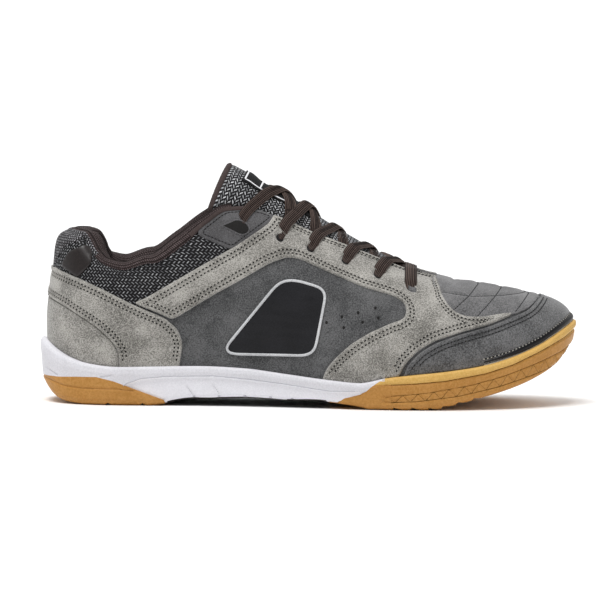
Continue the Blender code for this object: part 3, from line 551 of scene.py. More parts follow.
@dataclass(frozen=True)
class Weave(Finish):
    """Cloth of short staggered threads over a darker ground, measured along the piece.

    Rows lean by zigzag, in millimetres sideways for each millimetre up, and turn back at each row;
    stretch makes the gaps between rows thinner than those between threads.
    """

    ground: str = "#161617"
    thread_mm: float = 1.9
    row_mm: float = 2.0
    gap_mm: float = 0.5
    zigzag: float = 0.0
    stretch: float = 1.0

    def pattern(self, tree: bpy.types.NodeTree) -> tuple[bpy.types.NodeSocket, bpy.types.NodeSocket]:
        """Threads as bricks that lean to and fro from row to row, over a dark ground."""
        flat = add_node(tree, "UVMap", {"uv_map": "cloth_mm"}).outputs[0]
        x, y, _ = add_node(tree, "SeparateXYZ", Vector=flat).outputs
        sway = add_node(tree, "Math", {"operation": "PINGPONG"}, _0=y, _1=self.row_mm)
        lean = add_node(tree, "Math", {"operation": "MULTIPLY_ADD"}, _0=sway, _1=self.zigzag, _2=x)
        tall = add_node(tree, "Math", {"operation": "MULTIPLY"}, _0=y, _1=self.stretch)
        turned = add_node(tree, "CombineXYZ", X=lean, Y=tall)
        spot = add_node(tree, "TexCoord").outputs["Object"]
        fuzz = add_node(tree, "TexNoise", Vector=spot, Scale=1 / (self.grain_mm * MM), Detail=2.0)
        wobble = add_node(
            tree, "VectorMath", {"operation": "MULTIPLY_ADD"},
            _0=fuzz.outputs["Color"], _1=(0.35, 0.35, 0), _2=turned,
        )
        brick = add_node(
            tree, "TexBrick", {"offset": 0.5, "offset_frequency": 2}, Vector=wobble, Scale=1.0,
            Color1=linear(self.colour), Color2=linear(self.tone), Mortar=linear(self.ground),
            Mortar_Size=self.gap_mm, Mortar_Smooth=0.5, Bias=0.0, Brick_Width=self.thread_mm,
            Row_Height=self.row_mm * self.stretch,
        )
        height = add_node(tree, "Math", {"operation": "SUBTRACT"}, _0=1.0, _1=brick.outputs["Fac"])
        return brick.outputs["Color"], height.outputs[0]


class Finishes(Enum):
    """Every finish of the shoe: name, two tones, roughness, and grain and bump in millimetres."""

    # Split leather sanded until a short nap stands up: pale, speckled every half millimetre, no gloss
    SUEDE = Finish("light_suede", "#5d5b56", "#aeaba5", 0.92, 0.65, 0.26, sheen=0.25)
    # Full-grain leather sanded on its outer side: darker and finer than the suede, with a soft bloom
    NUBUCK = Finish("dark_nubuck", "#2a2b2c", "#616162", 0.85, 0.60, 0.13, sheen=0.3)
    # Painted light: the same nubuck a shade paler on the vamp, for the light from above on its upward-facing
    # top
    VAMP = Finish("vamp_nubuck_painted_light", "#39393a", "#6e6d6e", 0.85, 0.75, 0.12, sheen=0.3)
    # The same nubuck pulled tight round the toe, which opens its grain a little
    TOE = Finish("toe_nubuck", "#313132", "#6a6a6b", 0.85, 0.75, 0.13, sheen=0.3)
    # Nubuck pressed thin for the eyelet tab: even, warmer and smoother
    TAB = Finish("tab_nubuck", "#3a393a", "#5a595b", 0.8, 0.60, 0.08, sheen=0.2)
    # Split leather coated with polyurethane and rolled: smooth, with a soft shine
    SMOOTH = Finish("smooth_leather", "#1e1a1a", "#2b2625", 0.36, 0.60, 0.03, gloss=0.35)
    # Polyurethane film pressed on hot: nearly black and even
    FILM = Finish("inset_film", "#19191b", "#232326", 0.5, 0.5, 0.02)
    # Silver-coated leather folded over a cord: grey with a dull shine
    SILVER = Finish("inset_edge", "#a5a6a8", "#cdced0", 0.45, 0.5, 0.05)
    # EVA foam moulded under pressure: white, with a fine satin skin
    EVA = Finish("white_eva", "#cbcacf", "#d8d7dc", 0.45, 0.8, 0.015)
    # The same foam where the mould was blasted: matt and a shade paler
    RECESS = Finish("recessed_eva", "#dedde2", "#e8e7ec", 0.5, 0.8, 0.02)
    # Moulded gum rubber: amber, half glossy and a little cloudy
    GUM = Finish("gum_rubber", "#a9783b", "#ba894b", 0.42, 1.2, 0.02)
    # Gum rubber buffed after moulding: paler and drier
    RAND = Finish("gum_rand", "#c39a52", "#d1aa64", 0.5, 0.9, 0.05)
    # Painted shade: gum rubber made a dark line at the foot of a moulded groove, where shade falls
    GUM_LINE = Finish("gum_groove_shade", "#5f4318", "#704f1e", 0.6, 0.6, 0.01)
    # Painted shade: foam made a grey line at the foot of a moulded groove, where shade falls
    FOAM_LINE = Finish("foam_groove_shade", "#a9a9b0", "#b6b6bd", 0.6, 0.6, 0.01)
    # Patent leather lacquered black: a strip with a clear shine
    STRIP = Finish("toe_strip_gloss", "#0f0e10", "#171618", 0.34, 0.8, 0.02, gloss=0.2)
    # Painted shade, not a part: a near-black band along the foam's foot under the arch, for the shadow line
    # below the foam
    SHANK = Finish("arch_shank", "#1e1b19", "#2a2623", 0.8, 0.8, 0.02)
    # Twisted polyester thread, waxed: pale grey and almost matt
    THREAD = Finish("suede_thread", "#a19e97", "#b5b2ab", 0.7, 0.3, 0.05)
    # The same thread dyed close to the nubuck, so that its rows hardly show
    DARK_THREAD = Finish("dark_thread", "#38393a", "#4b4c4e", 0.7, 0.3, 0.05)
    # Punched or needled leather: dark beads, discs and patches of painted shade laid over the holes, for the
    # shade inside them
    HOLE = Finish("needle_hole", "#1a1919", "#272625", 0.9, 0.3, 0.02)
    # Flat braid of polyester yarn: dark brown and matt, in ridges a millimetre wide along it
    LACE = Weave(
        "lace_braid", "#5d4f49", "#473b36", 0.7, 0.3, 0.25,
        ground="#1c1513", thread_mm=1.0, row_mm=60.0, gap_mm=0.34,
    )
    # Painted shade: a nearly black, matt cord along the top of the collar rim, for the shadow gap between
    # the near rim and the far lining
    PIPING = Finish("collar_piping", "#1d1817", "#2a2322", 0.8, 0.4, 0.05)
    # Brushed polyester lining: dark, soft and without gloss
    LINING = Finish("lining_cloth", "#2b2626", "#3b3535", 0.9, 0.4, 0.1)
    # Woven tape folded over an edge: dark brown with a fine rough surface
    BINDING = Finish("edge_binding", "#362d2c", "#4a403e", 0.85, 0.4, 0.12)
    # Knitted cloth glued on foam, the insole's top: black and matt
    FOAM = Finish("insole_cloth", "#232324", "#303032", 0.9, 0.5, 0.08)
    # Quarter mesh, knitted of pale yarn over black: short threads that lean to and fro from row to row.
    # They are drawn coarser than the real ones, which would run together into stripes at this size
    MESH = Weave(
        "quarter_mesh", "#c4c5c8", "#66666a", 0.6, 0.35, 0.35,
        ground="#0f0f10", thread_mm=2.2, row_mm=1.75, gap_mm=1.10, zigzag=1.0, stretch=2.4,
    )
    # The same mesh at the heel, pulled flatter: finer and lower in contrast
    HEEL_MESH = Weave(
        "heel_mesh", "#c0bfc3", "#747377", 0.7, 0.3, 0.2,
        ground="#1c1a1b", thread_mm=1.8, row_mm=1.5, gap_mm=0.80, zigzag=0.8, stretch=2.2,
    )
    # The tongue's mesh, laminated on soft foam: the same knit in a paler yarn
    TONGUE_MESH = Weave(
        "tongue_mesh", "#d0d1d4", "#7c7d80", 0.6, 0.35, 0.3,
        ground="#141415", thread_mm=2.0, row_mm=1.8, gap_mm=0.80, zigzag=1.0, stretch=2.2,
    )
    # Ribbed knit of brown yarn, stretched over the collar's foam: fine raised rows, matt
    KNIT = Weave(
        "collar_knit", "#534848", "#655959", 0.85, 0.3, 0.25,
        ground="#231c1b", thread_mm=1.1, row_mm=1.2, gap_mm=0.3, zigzag=0.7,
    )
    # Label woven of black yarn, cut hot: flat, with a hardly visible weave
    LABEL = Weave(
        "woven_label", "#1b1b1c", "#232324", 0.7, 0.3, 0.06,
        ground="#0f0f10", thread_mm=0.8, row_mm=0.5, gap_mm=0.12,
    )
    # White yarn woven into the label: a thin bright line
    WHITE_THREAD = Finish("label_thread", "#d9d9dc", "#e8e8ea", 0.6, 0.3, 0.03)


def make_piece(
    name: str,
    points: Array,
    faces: Sequence[Sequence[int]],
    finishes: Sequence[Finishes],
    slots: Optional[Sequence[int]] = None,
    cloth: Optional[Array] = None,
    sharp: float = 50.0,
) -> bpy.types.Object:
    """A mesh object that rides on the shoe.

    Args:
        name: the piece's name.
        points: its points in shoe coordinates.
        faces: the points of each face.
        finishes: its finishes in slot order.
        slots: the slot of each face.
        cloth: for each point, its place along the cloth in millimetres.
        sharp: the angle in degrees above which an edge stays sharp.

    Returns:
        The object.
    """
    mesh = bpy.data.meshes.new(name)
    mesh.from_pydata([tuple(p) for p in place(points)], [], [tuple(f) for f in faces])
    if slots is not None:
        mesh.polygons.foreach_set("material_index", np.asarray(slots, np.int32))
    if cloth is not None:
        layer = mesh.uv_layers.new(name="cloth_mm")
        corners = np.zeros(len(mesh.loops), np.int32)
        mesh.loops.foreach_get("vertex_index", corners)
        layer.data.foreach_set("uv", np.asarray(cloth, np.float32)[corners].ravel())
    shape = bmesh.new()
    shape.from_mesh(mesh)
    bmesh.ops.remove_doubles(shape, verts=shape.verts, dist=2e-6)
    bmesh.ops.dissolve_degenerate(shape, edges=shape.edges, dist=1e-6)
    bmesh.ops.recalc_face_normals(shape, faces=shape.faces)
    shape.to_mesh(mesh)
    shape.free()
    for finish in finishes:
        mesh.materials.append(finish.value.build())
    mesh.shade_smooth()
    mesh.set_sharp_from_angle(angle=math.radians(sharp))
    thing = bpy.data.objects.new(name, mesh)
    bpy.context.scene.collection.objects.link(thing)
    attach(thing, "root")
    return thing


def strip_faces(rows: int, count: int, closed: bool = True, wrap: bool = False) -> list[Face]:
    """Quads between rows of count points each, and from the last row to the first if they wrap."""
    faces = []
    for r in range(rows if wrap else rows - 1):
        a, b = r * count, (r + 1) % rows * count
        for i in range(count if closed else count - 1):
            j = (i + 1) % count
            faces.append((a + i, a + j, b + j, b + i))
    return faces


def end_faces(rows: int, count: int) -> list[Face]:
    """One face over the first row of points and one over the last."""
    return [tuple(range(count)), tuple(range((rows - 1) * count, rows * count))]


def seam_faces(row: int, count: int) -> list[Face]:
    """Quads that close a row of points that runs out and back."""
    first, last = row * count, (row + 1) * count - 1
    return [(first + i, first + i + 1, last - 1 - i, last - i) for i in range(count // 2 - 1)]


@dataclass
class Crease:
    """A soft trough (depth above 0) or ridge on the upper, between two places of the side view."""

    start: tuple[float, float]
    end: tuple[float, float]
    width_mm: float
    depth_mm: float
    side: Side = Side.LATERAL


CREASES = (
    Crease((0.735, 0.560), (0.790, 0.640), 3.0, 0.7),
    Crease((0.735, 0.560), (0.790, 0.640), 3.0, 0.7, Side.MEDIAL),
    Crease((0.660, 0.250), (0.735, 0.430), 7.0, 0.7),
    Crease((0.690, 0.220), (0.760, 0.400), 6.0, -0.4),
    Crease((0.300, 0.300), (0.350, 0.480), 9.0, 0.6),
    Crease((0.560, 0.420), (0.660, 0.300), 8.0, 0.5),
    Crease((0.560, 0.420), (0.660, 0.300), 8.0, 0.5, Side.MEDIAL),
    Crease((0.170, 0.650), (0.300, 0.740), 6.0, 0.5),
    Crease((0.150, 0.600), (0.250, 0.620), 5.0, -0.4),
    Crease((0.300, 0.420), (0.420, 0.300), 9.0, 0.5, Side.MEDIAL),
)


@dataclass
class Last:
    """The upper's form as a fine grid, with a flat map in millimetres that panels are cut on."""

    half_count: int = 260
    level_count: int = 150
    curve_steps: int = 240
    tuck_mm: float = 0.8
    heel_pull_mm: float = 2.6
    # Share of the length over which the heel is pulled in, then height and spread as shares of INSTEP_HEIGHT
    pull: tuple[float, float, float] = (0.10, 0.66, 0.17)
    # Levels from the feather line up among which the sole's rim is looked for
    rim_levels: int = 60

    def __post_init__(self) -> None:
        """Works out the grid, its creases, its normals and the flat map."""
        along, side = ring(self.half_count)
        levels = np.linspace(0, 1, self.level_count + 1)
        rows = []
        for curve in meridians(along, side, self.curve_steps):
            run = run_of(curve)
            rows.append(points_at(levels * run[-1], run, curve))
        self.side = side
        self.points = np.array(rows)
        self.normals = self.find_normals()
        self.points = self.points - self.normals * self.creased()[..., None]
        reach, height, spread = self.pull
        high = np.exp(-(((self.points[..., 2] / INSTEP_HEIGHT - height) / spread) ** 2))
        self.points[..., 0] += self.heel_pull_mm * MM * np.clip(1 - along / reach, 0, 1)[:, None] * high
        self.normals = self.find_normals()
        steps = np.linalg.norm(np.diff(self.points, axis=1), axis=2)
        self.lengths = steps.sum(1) / MM
        middle = self.points[:, int(0.45 * self.level_count)]
        around = np.linalg.norm(np.roll(middle, -1, 0) - middle, axis=1) / MM
        self.girth = np.concatenate([[0], np.cumsum(around)])
        rim = rim_heights(along, side) - self.tuck_mm * MM
        low = self.points[:, : self.rim_levels, 2]
        self.floor = np.array([np.interp(at, row, levels[: self.rim_levels]) for at, row in zip(rim, low)])

    def find_normals(self) -> Array:
        """Unit normals of the grid, pointing out."""
        around = np.roll(self.points, -1, 0) - np.roll(self.points, 1, 0)
        normals = np.cross(around, np.gradient(self.points, axis=1))
        return normals / np.maximum(np.linalg.norm(normals, axis=2, keepdims=True), 1e-12)

    def creased(self) -> Array:
        """Depth of the creases at every grid point."""
        depth = np.zeros(self.points.shape[:2])
        spots = self.points[..., (0, 2)].reshape(-1, 2)
        for crease in CREASES:
            path = np.array([crease.start, crease.end]) * (SOLE_LENGTH, INSTEP_HEIGHT)
            away = distance(spots, path, False).reshape(depth.shape) / MM
            here = (self.side == -crease.side.value)[:, None]
            depth += np.where(here, crease.depth_mm * MM * np.exp(-((away / crease.width_mm) ** 2)), 0)
        return depth

    def grid_at(self, values: Array, p: Array, v: Array) -> Array:
        """Values of the grid at turns p (0 heel, 0.5 toe, periodic) and levels v, between its points."""
        count, top = len(self.points), self.level_count
        x = np.mod(p, 1.0) * count
        i = np.floor(x).astype(int) % count
        f = (x - np.floor(x))[:, None]
        y = np.clip(v, 0, 1) * top
        k = np.minimum(y.astype(int), top - 1)
        g = (y - k)[:, None]
        j = (i + 1) % count
        low = values[i, k] * (1 - f) + values[j, k] * f
        high = values[i, k + 1] * (1 - f) + values[j, k + 1] * f
        return low * (1 - g) + high * g

    def at(self, p: Array, v: Array, lift_mm: Array | float = 0.0) -> Array:
        """Points on the form, or above it by lift."""
        lift = np.broadcast_to(np.asarray(lift_mm, float), np.shape(p))[:, None] * MM
        normal = self.grid_at(self.normals, p, v)
        normal = normal / np.linalg.norm(normal, axis=1, keepdims=True)
        return self.grid_at(self.points, p, v) + normal * lift

    def pair(self, p: Array, v: Array, lift_mm: float) -> tuple[Array, Array]:
        """Points above the form, and the points a millimetre above them."""
        return self.at(p, v, lift_mm), self.at(p, v, lift_mm + 1)

    @staticmethod
    def round_at(values: Array, p: Array) -> Array:
        """Values of the stations, at turns p between them."""
        count = len(values)
        return np.interp(np.mod(p, 1.0) * count, np.arange(count + 1), np.append(values, values[0]))

    def floor_at(self, p: Array) -> Array:
        """The level of the sole's rim, a little tucked in, at turns p."""
        return self.round_at(self.floor, p)

    def length_at(self, p: Array) -> Array:
        """Length of the form from feather line to top line at turns p, in millimetres."""
        return self.round_at(self.lengths, p)

    def flat(self, spots: Array) -> Array:
        """Turns and levels as places on the flat map."""
        p, v = spots[:, 0], spots[:, 1]
        turn = np.floor(p)
        count = len(self.points)
        s = np.interp((p - turn) * count, np.arange(count + 1), self.girth) + turn * self.girth[-1]
        return np.stack([s, v * self.length_at(p)], -1)

    def unflat(self, places: Array) -> Array:
        """Places on the flat map as turns and levels."""
        turn = np.floor(places[:, 0] / self.girth[-1])
        rest = places[:, 0] - turn * self.girth[-1]
        p = np.interp(rest, self.girth, np.arange(len(self.girth))) / len(self.points) + turn
        return np.stack([p, places[:, 1] / self.length_at(p)], -1)

    def lifted(self, places: Array, lift_mm: Array | float) -> Array:
        """Points above places of the flat map."""
        return self.at(*self.unflat(places).T, lift_mm)

    def lifted_pair(self, places: Array, lift_mm: float) -> tuple[Array, Array]:
        """Points above places of the flat map, and the points a millimetre above them."""
        return self.pair(*self.unflat(places).T, lift_mm)

    def locate(self, spots: Array) -> Array:
        """Turns and levels on the little-toe side of places seen from the side.

        Args:
            spots: along and up, in metres. What lies off the form goes to its nearest edge.

        Returns:
            The turn, 0 at the heel and 0.5 at the toe, and the level of each.
        """

        def seen(p: Array, v: Array) -> Array:
            """Side-view places of turns and levels."""
            return self.grid_at(self.points, p, v)[:, (0, 2)]

        count, top = len(self.points), self.level_count
        grid = self.points[: self.half_count + 1][..., (0, 2)].reshape(-1, 2)
        near = np.array([int(np.argmin(((grid - spot) ** 2).sum(1))) for spot in spots])
        p, v = near // (top + 1) / count, near % (top + 1) / top
        best = ((seen(p, v) - spots) ** 2).sum(1)
        tiny = 0.2 / count
        for _ in range(6):
            here = seen(p, v)
            dp = (seen(p + tiny, v) - here) / tiny
            dv = (seen(p, np.clip(v - tiny, 0, 1)) - here) / -tiny
            det = dp[:, 0] * dv[:, 1] - dp[:, 1] * dv[:, 0]
            det = np.where(np.abs(det) < 1e-12, 1e-12, det)
            miss = spots - here
            move_p = (miss[:, 0] * dv[:, 1] - miss[:, 1] * dv[:, 0]) / det
            move_v = (dp[:, 0] * miss[:, 1] - dp[:, 1] * miss[:, 0]) / det
            trial_p = np.clip(p + np.clip(move_p, -0.004, 0.004), 0, 0.5)
            trial_v = np.clip(v + np.clip(move_v, -0.01, 0.01), 0, 1)
            off = ((seen(trial_p, trial_v) - spots) ** 2).sum(1)
            better = off < best
            p, v = np.where(better, trial_p, p), np.where(better, trial_v, v)
            best = np.where(better, off, best)
        return np.stack([p, np.maximum(v, self.floor_at(p))], -1)

    def trace(self, line: Line, closed: bool = False, reach: int = 2) -> Array:
        """A side-view line of shares as turns and levels, with its corners rounded a little."""
        path = np.array(line) * (SOLE_LENGTH, INSTEP_HEIGHT)
        if closed:
            path = np.concatenate([path, path[:1]])
        path = resample(path, 1.0 * MM)
        if closed:
            path = path[:-1]
        return self.locate(soften(path, reach, closed, 2))

    def run(self, start: float, end: float, level: Optional[float] = None) -> Array:
        """Turns and levels along the rim, or along one level, from one turn to another."""
        p = np.linspace(start, end, max(3, int(abs(end - start) * 900)))
        return np.stack([p, self.floor_at(p) if level is None else np.full(len(p), level)], -1)

    def folded(self, line: Array, about: float, level: Optional[float] = None) -> Array:
        """A loop on the flat map of a line, its mirror image and the way back along the rim or a level."""
        back = self.run(about - line[0, 0], line[0, 0], level)[1:-1]
        return tidy_loop(self.flat(np.concatenate([line, mirrored(line, about)[1:], back])))


def mirrored(spots: Array, about: float = 0.0) -> Array:
    """A line on the other side of the shoe, run backwards; about is 0 for the heel, 1 for the toe."""
    return np.stack([about - spots[:, 0], spots[:, 1]], -1)[::-1]


def tidy_loop(loop: Array, gap: float = 0.25) -> Array:
    """A flat loop without points closer together than gap."""
    kept = [loop[0]]
    for spot in loop[1:]:
        if np.linalg.norm(spot - kept[-1]) > gap:
            kept.append(spot)
    if np.linalg.norm(kept[-1] - kept[0]) < gap:
        kept.pop()
    return np.array(kept)


def turned_in(loop: Array, by: float) -> Array:
    """A flat loop moved inwards, without the places where it would cross itself."""
    run = np.roll(loop, -2, 0) - np.roll(loop, 2, 0)
    size = np.maximum(np.linalg.norm(run, axis=1, keepdims=True), 1e-9)
    normal = np.stack([-run[:, 1], run[:, 0]], -1) / size
    area = (loop[:, 0] * np.roll(loop[:, 1], -1) - np.roll(loop[:, 0], -1) * loop[:, 1]).sum()
    moved = loop + normal * by * (1 if area > 0 else -1)
    keep = (distance(moved, loop, True) > 0.93 * by) & inside(moved, loop)
    return np.where(keep[:, None], moved, np.nan)


@dataclass
class Panel:
    """A piece of leather or cloth cut on the flat map and laid on the form, with rolled edges.

    A sewn edge swells at its first place in from the rim and sinks into a trough at its second.
    """

    name: str
    loop: Array
    finish: Finishes
    nodes: tuple[str, ...] = ()
    slot: str = ""
    thick_mm: float = 1.2
    lift_mm: float = 0.1
    edge_mm: float = 0.9
    pitch_mm: float = 1.5
    relief: Optional[Relief] = None
    sewn_mm: float = 0.0
    sewn_at_mm: tuple[float, float] = (1.1, 3.1)
    under_mm: float = 0.5
    holes: list[Array] = field(default_factory=list)

    def cut(self) -> tuple[Array, Array]:
        """Places and triangles of the panel on the flat map."""
        loops = [self.loop, *self.holes]
        spots, edges, start = [], [], 0
        for loop in loops:
            edges += [(start + i, start + (i + 1) % len(loop)) for i in range(len(loop))]
            spots.append(loop)
            start += len(loop)
        low, high = self.loop.min(0), self.loop.max(0)
        xs = np.arange(low[0], high[0], self.pitch_mm)
        ys = np.arange(low[1], high[1], self.pitch_mm * 0.866)
        grid = np.array([(x + (j % 2) * self.pitch_mm / 2, y) for j, y in enumerate(ys) for x in xs])
        grid = grid[self.within(grid)]
        away = self.margin(grid)
        grid = grid[away > max(self.edge_mm, 0.6 * self.pitch_mm) + 0.3]
        inner = []
        for share in (0.3, 0.65, 1.0):
            ring_spots = turned_in(self.loop, self.edge_mm * share)
            ring_spots = ring_spots[~np.isnan(ring_spots[:, 0])][:: 1 if share < 1 else 2]
            if len(ring_spots):
                inner.append(ring_spots[self.within(ring_spots)])
        points = np.concatenate([*spots, *inner, grid])
        found = delaunay_2d_cdt([Vector(p) for p in points], edges, [], 0, 1e-6, False)
        places = np.array([tuple(p) for p in found[0]])
        faces = np.array([f for f in found[2] if len(f) == 3])
        middle = places[faces].mean(1)
        return places, faces[self.within(middle)]

    def within(self, spots: Array) -> Array:
        """Whether flat spots are on the panel."""
        on = inside(spots, self.loop)
        for hole in self.holes:
            on &= ~inside(spots, hole)
        return on

    def margin(self, spots: Array) -> Array:
        """Distance of flat spots from the panel's edges."""
        away = distance(spots, self.loop, True)
        for hole in self.holes:
            away = np.minimum(away, distance(spots, hole, True))
        return away

    def build(self, form: Last) -> bpy.types.Object:
        """The panel as a closed solid on the form."""
        places, faces = self.cut()
        long, tall = np.ptp(self.loop, axis=0)
        logging.info("%s: %.0f by %.0f mm flat, %.1f mm thick", self.name, long, tall, self.thick_mm)
        away = np.clip(self.margin(places) / self.edge_mm, 0, 1)
        lift = self.lift_mm + self.thick_mm * np.sqrt(np.maximum(1 - (1 - away) ** 2, 0))
        if self.relief:
            lift = lift + self.relief(places)
        if self.sewn_mm:
            rim = distance(places, self.loop, True)
            swell, trough = self.sewn_at_mm
            roll = 0.6 * np.exp(-(((rim - swell) / 0.8) ** 2))
            lift += self.sewn_mm * (roll - np.exp(-(((rim - trough) / 1.2) ** 2)))
        count = len(places)
        top = form.lifted(places, lift)
        bottom = form.lifted(places, -self.under_mm)
        sides = {}
        for a, b, c in faces:
            for edge in ((a, b), (b, c), (c, a)):
                if (edge[1], edge[0]) in sides:
                    del sides[(edge[1], edge[0])]
                else:
                    sides[edge] = True
        solid = [tuple(f) for f in faces] + [(c + count, b + count, a + count) for a, b, c in faces]
        solid += [(b, a, a + count, b + count) for a, b in sides]
        cloth = np.concatenate([places, places])
        thing = make_piece(self.name, np.concatenate([top, bottom]), solid, [self.finish], cloth=cloth)
        if self.nodes:
            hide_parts(*self.nodes)
        return thing


@dataclass
class Stitching:
    """Rows of stitches of one thread, gathered into one piece, with the needle holes between them as dark
    beads of painted shade.
    """

    name: str
    thread: Finishes
    pitch_mm: float = 2.3
    length_mm: float = 1.45
    width_mm: float = 0.55
    thick_mm: float = 0.45
    # Length, width and thickness of a needle hole's dark bead of painted shade
    hole_mm: tuple[float, float, float] = (0.75, 0.5, 0.32)
    points: list[Array] = field(default_factory=list)
    holes: list[Array] = field(default_factory=list)

    # A bead of six sides with a point at each end, and its faces
    BEAD = np.array(
        [(-1.0, 0, 0)]
        + [(x, math.cos(t), math.sin(t)) for x in (-0.6, 0.6) for t in np.arange(6) * math.pi / 3]
        + [(1.0, 0, 0)]
    )
    BEAD_FACES = (
        [(0, 1 + (i + 1) % 6, 1 + i) for i in range(6)]
        + [(1 + i, 1 + (i + 1) % 6, 7 + (i + 1) % 6, 7 + i) for i in range(6)]
        + [(7 + i, 7 + (i + 1) % 6, 13) for i in range(6)]
    )

    def sew(self, form: Last, path: Array, lift_mm: float, closed: bool = False) -> None:
        """Adds a row along a path on the flat map, broken where points are not a number.

        Args:
            form: the form under it.
            path: places on the flat map.
            lift_mm: height of the surface there.
            closed: whether the path joins up.
        """
        runs, current = [], []
        for spot in np.concatenate([path, path[:1]]) if closed else path:
            if np.isnan(spot[0]) or (current and np.linalg.norm(spot - current[-1]) > 6):
                runs.append(current)
                current = []
            if not np.isnan(spot[0]):
                current.append(spot)
        runs.append(current)
        for run in runs:
            if len(run) < 3:
                continue
            pair = np.concatenate(form.lifted_pair(np.array(run), lift_mm), 1)
            both = resample(pair, self.pitch_mm * MM / 2 * math.sqrt(2))
            spots, up = both[:, :3], both[:, 3:] - both[:, :3]
            way = np.gradient(spots, axis=0)
            bead_mm = (self.length_mm, self.width_mm, self.thick_mm)
            self.add(self.points, spots[::2], way[::2], up[::2], bead_mm)
            self.add(self.holes, spots[1::2], way[1::2], up[1::2], self.hole_mm)

    def add(
        self, store: list[Array], spots: Array, way: Array, up: Array, bead_mm: tuple[float, float, float]
    ) -> None:
        """Adds one bead at each spot, of the given length, width and thickness."""
        way, up = unit(way), unit(up)
        across = np.cross(up, way)
        size = np.array(bead_mm) * MM / 2
        for spot, a, b, c in zip(spots, way, across, up):
            store.append(spot + (self.BEAD * size) @ np.array([a, b, c]))

    def build(self) -> None:
        """Makes the thread and the painted shade of the holes."""
        kinds = ((self.points, "thread", self.thread), (self.holes, "needle_holes", Finishes.HOLE))
        for store, word, finish in kinds:
            if not store:
                continue
            starts = np.arange(len(store)) * len(self.BEAD)
            faces = [tuple(start + i for i in face) for start in starts for face in self.BEAD_FACES]
            make_piece(self.name + "_" + word, np.concatenate(store), faces, [finish], sharp=80)


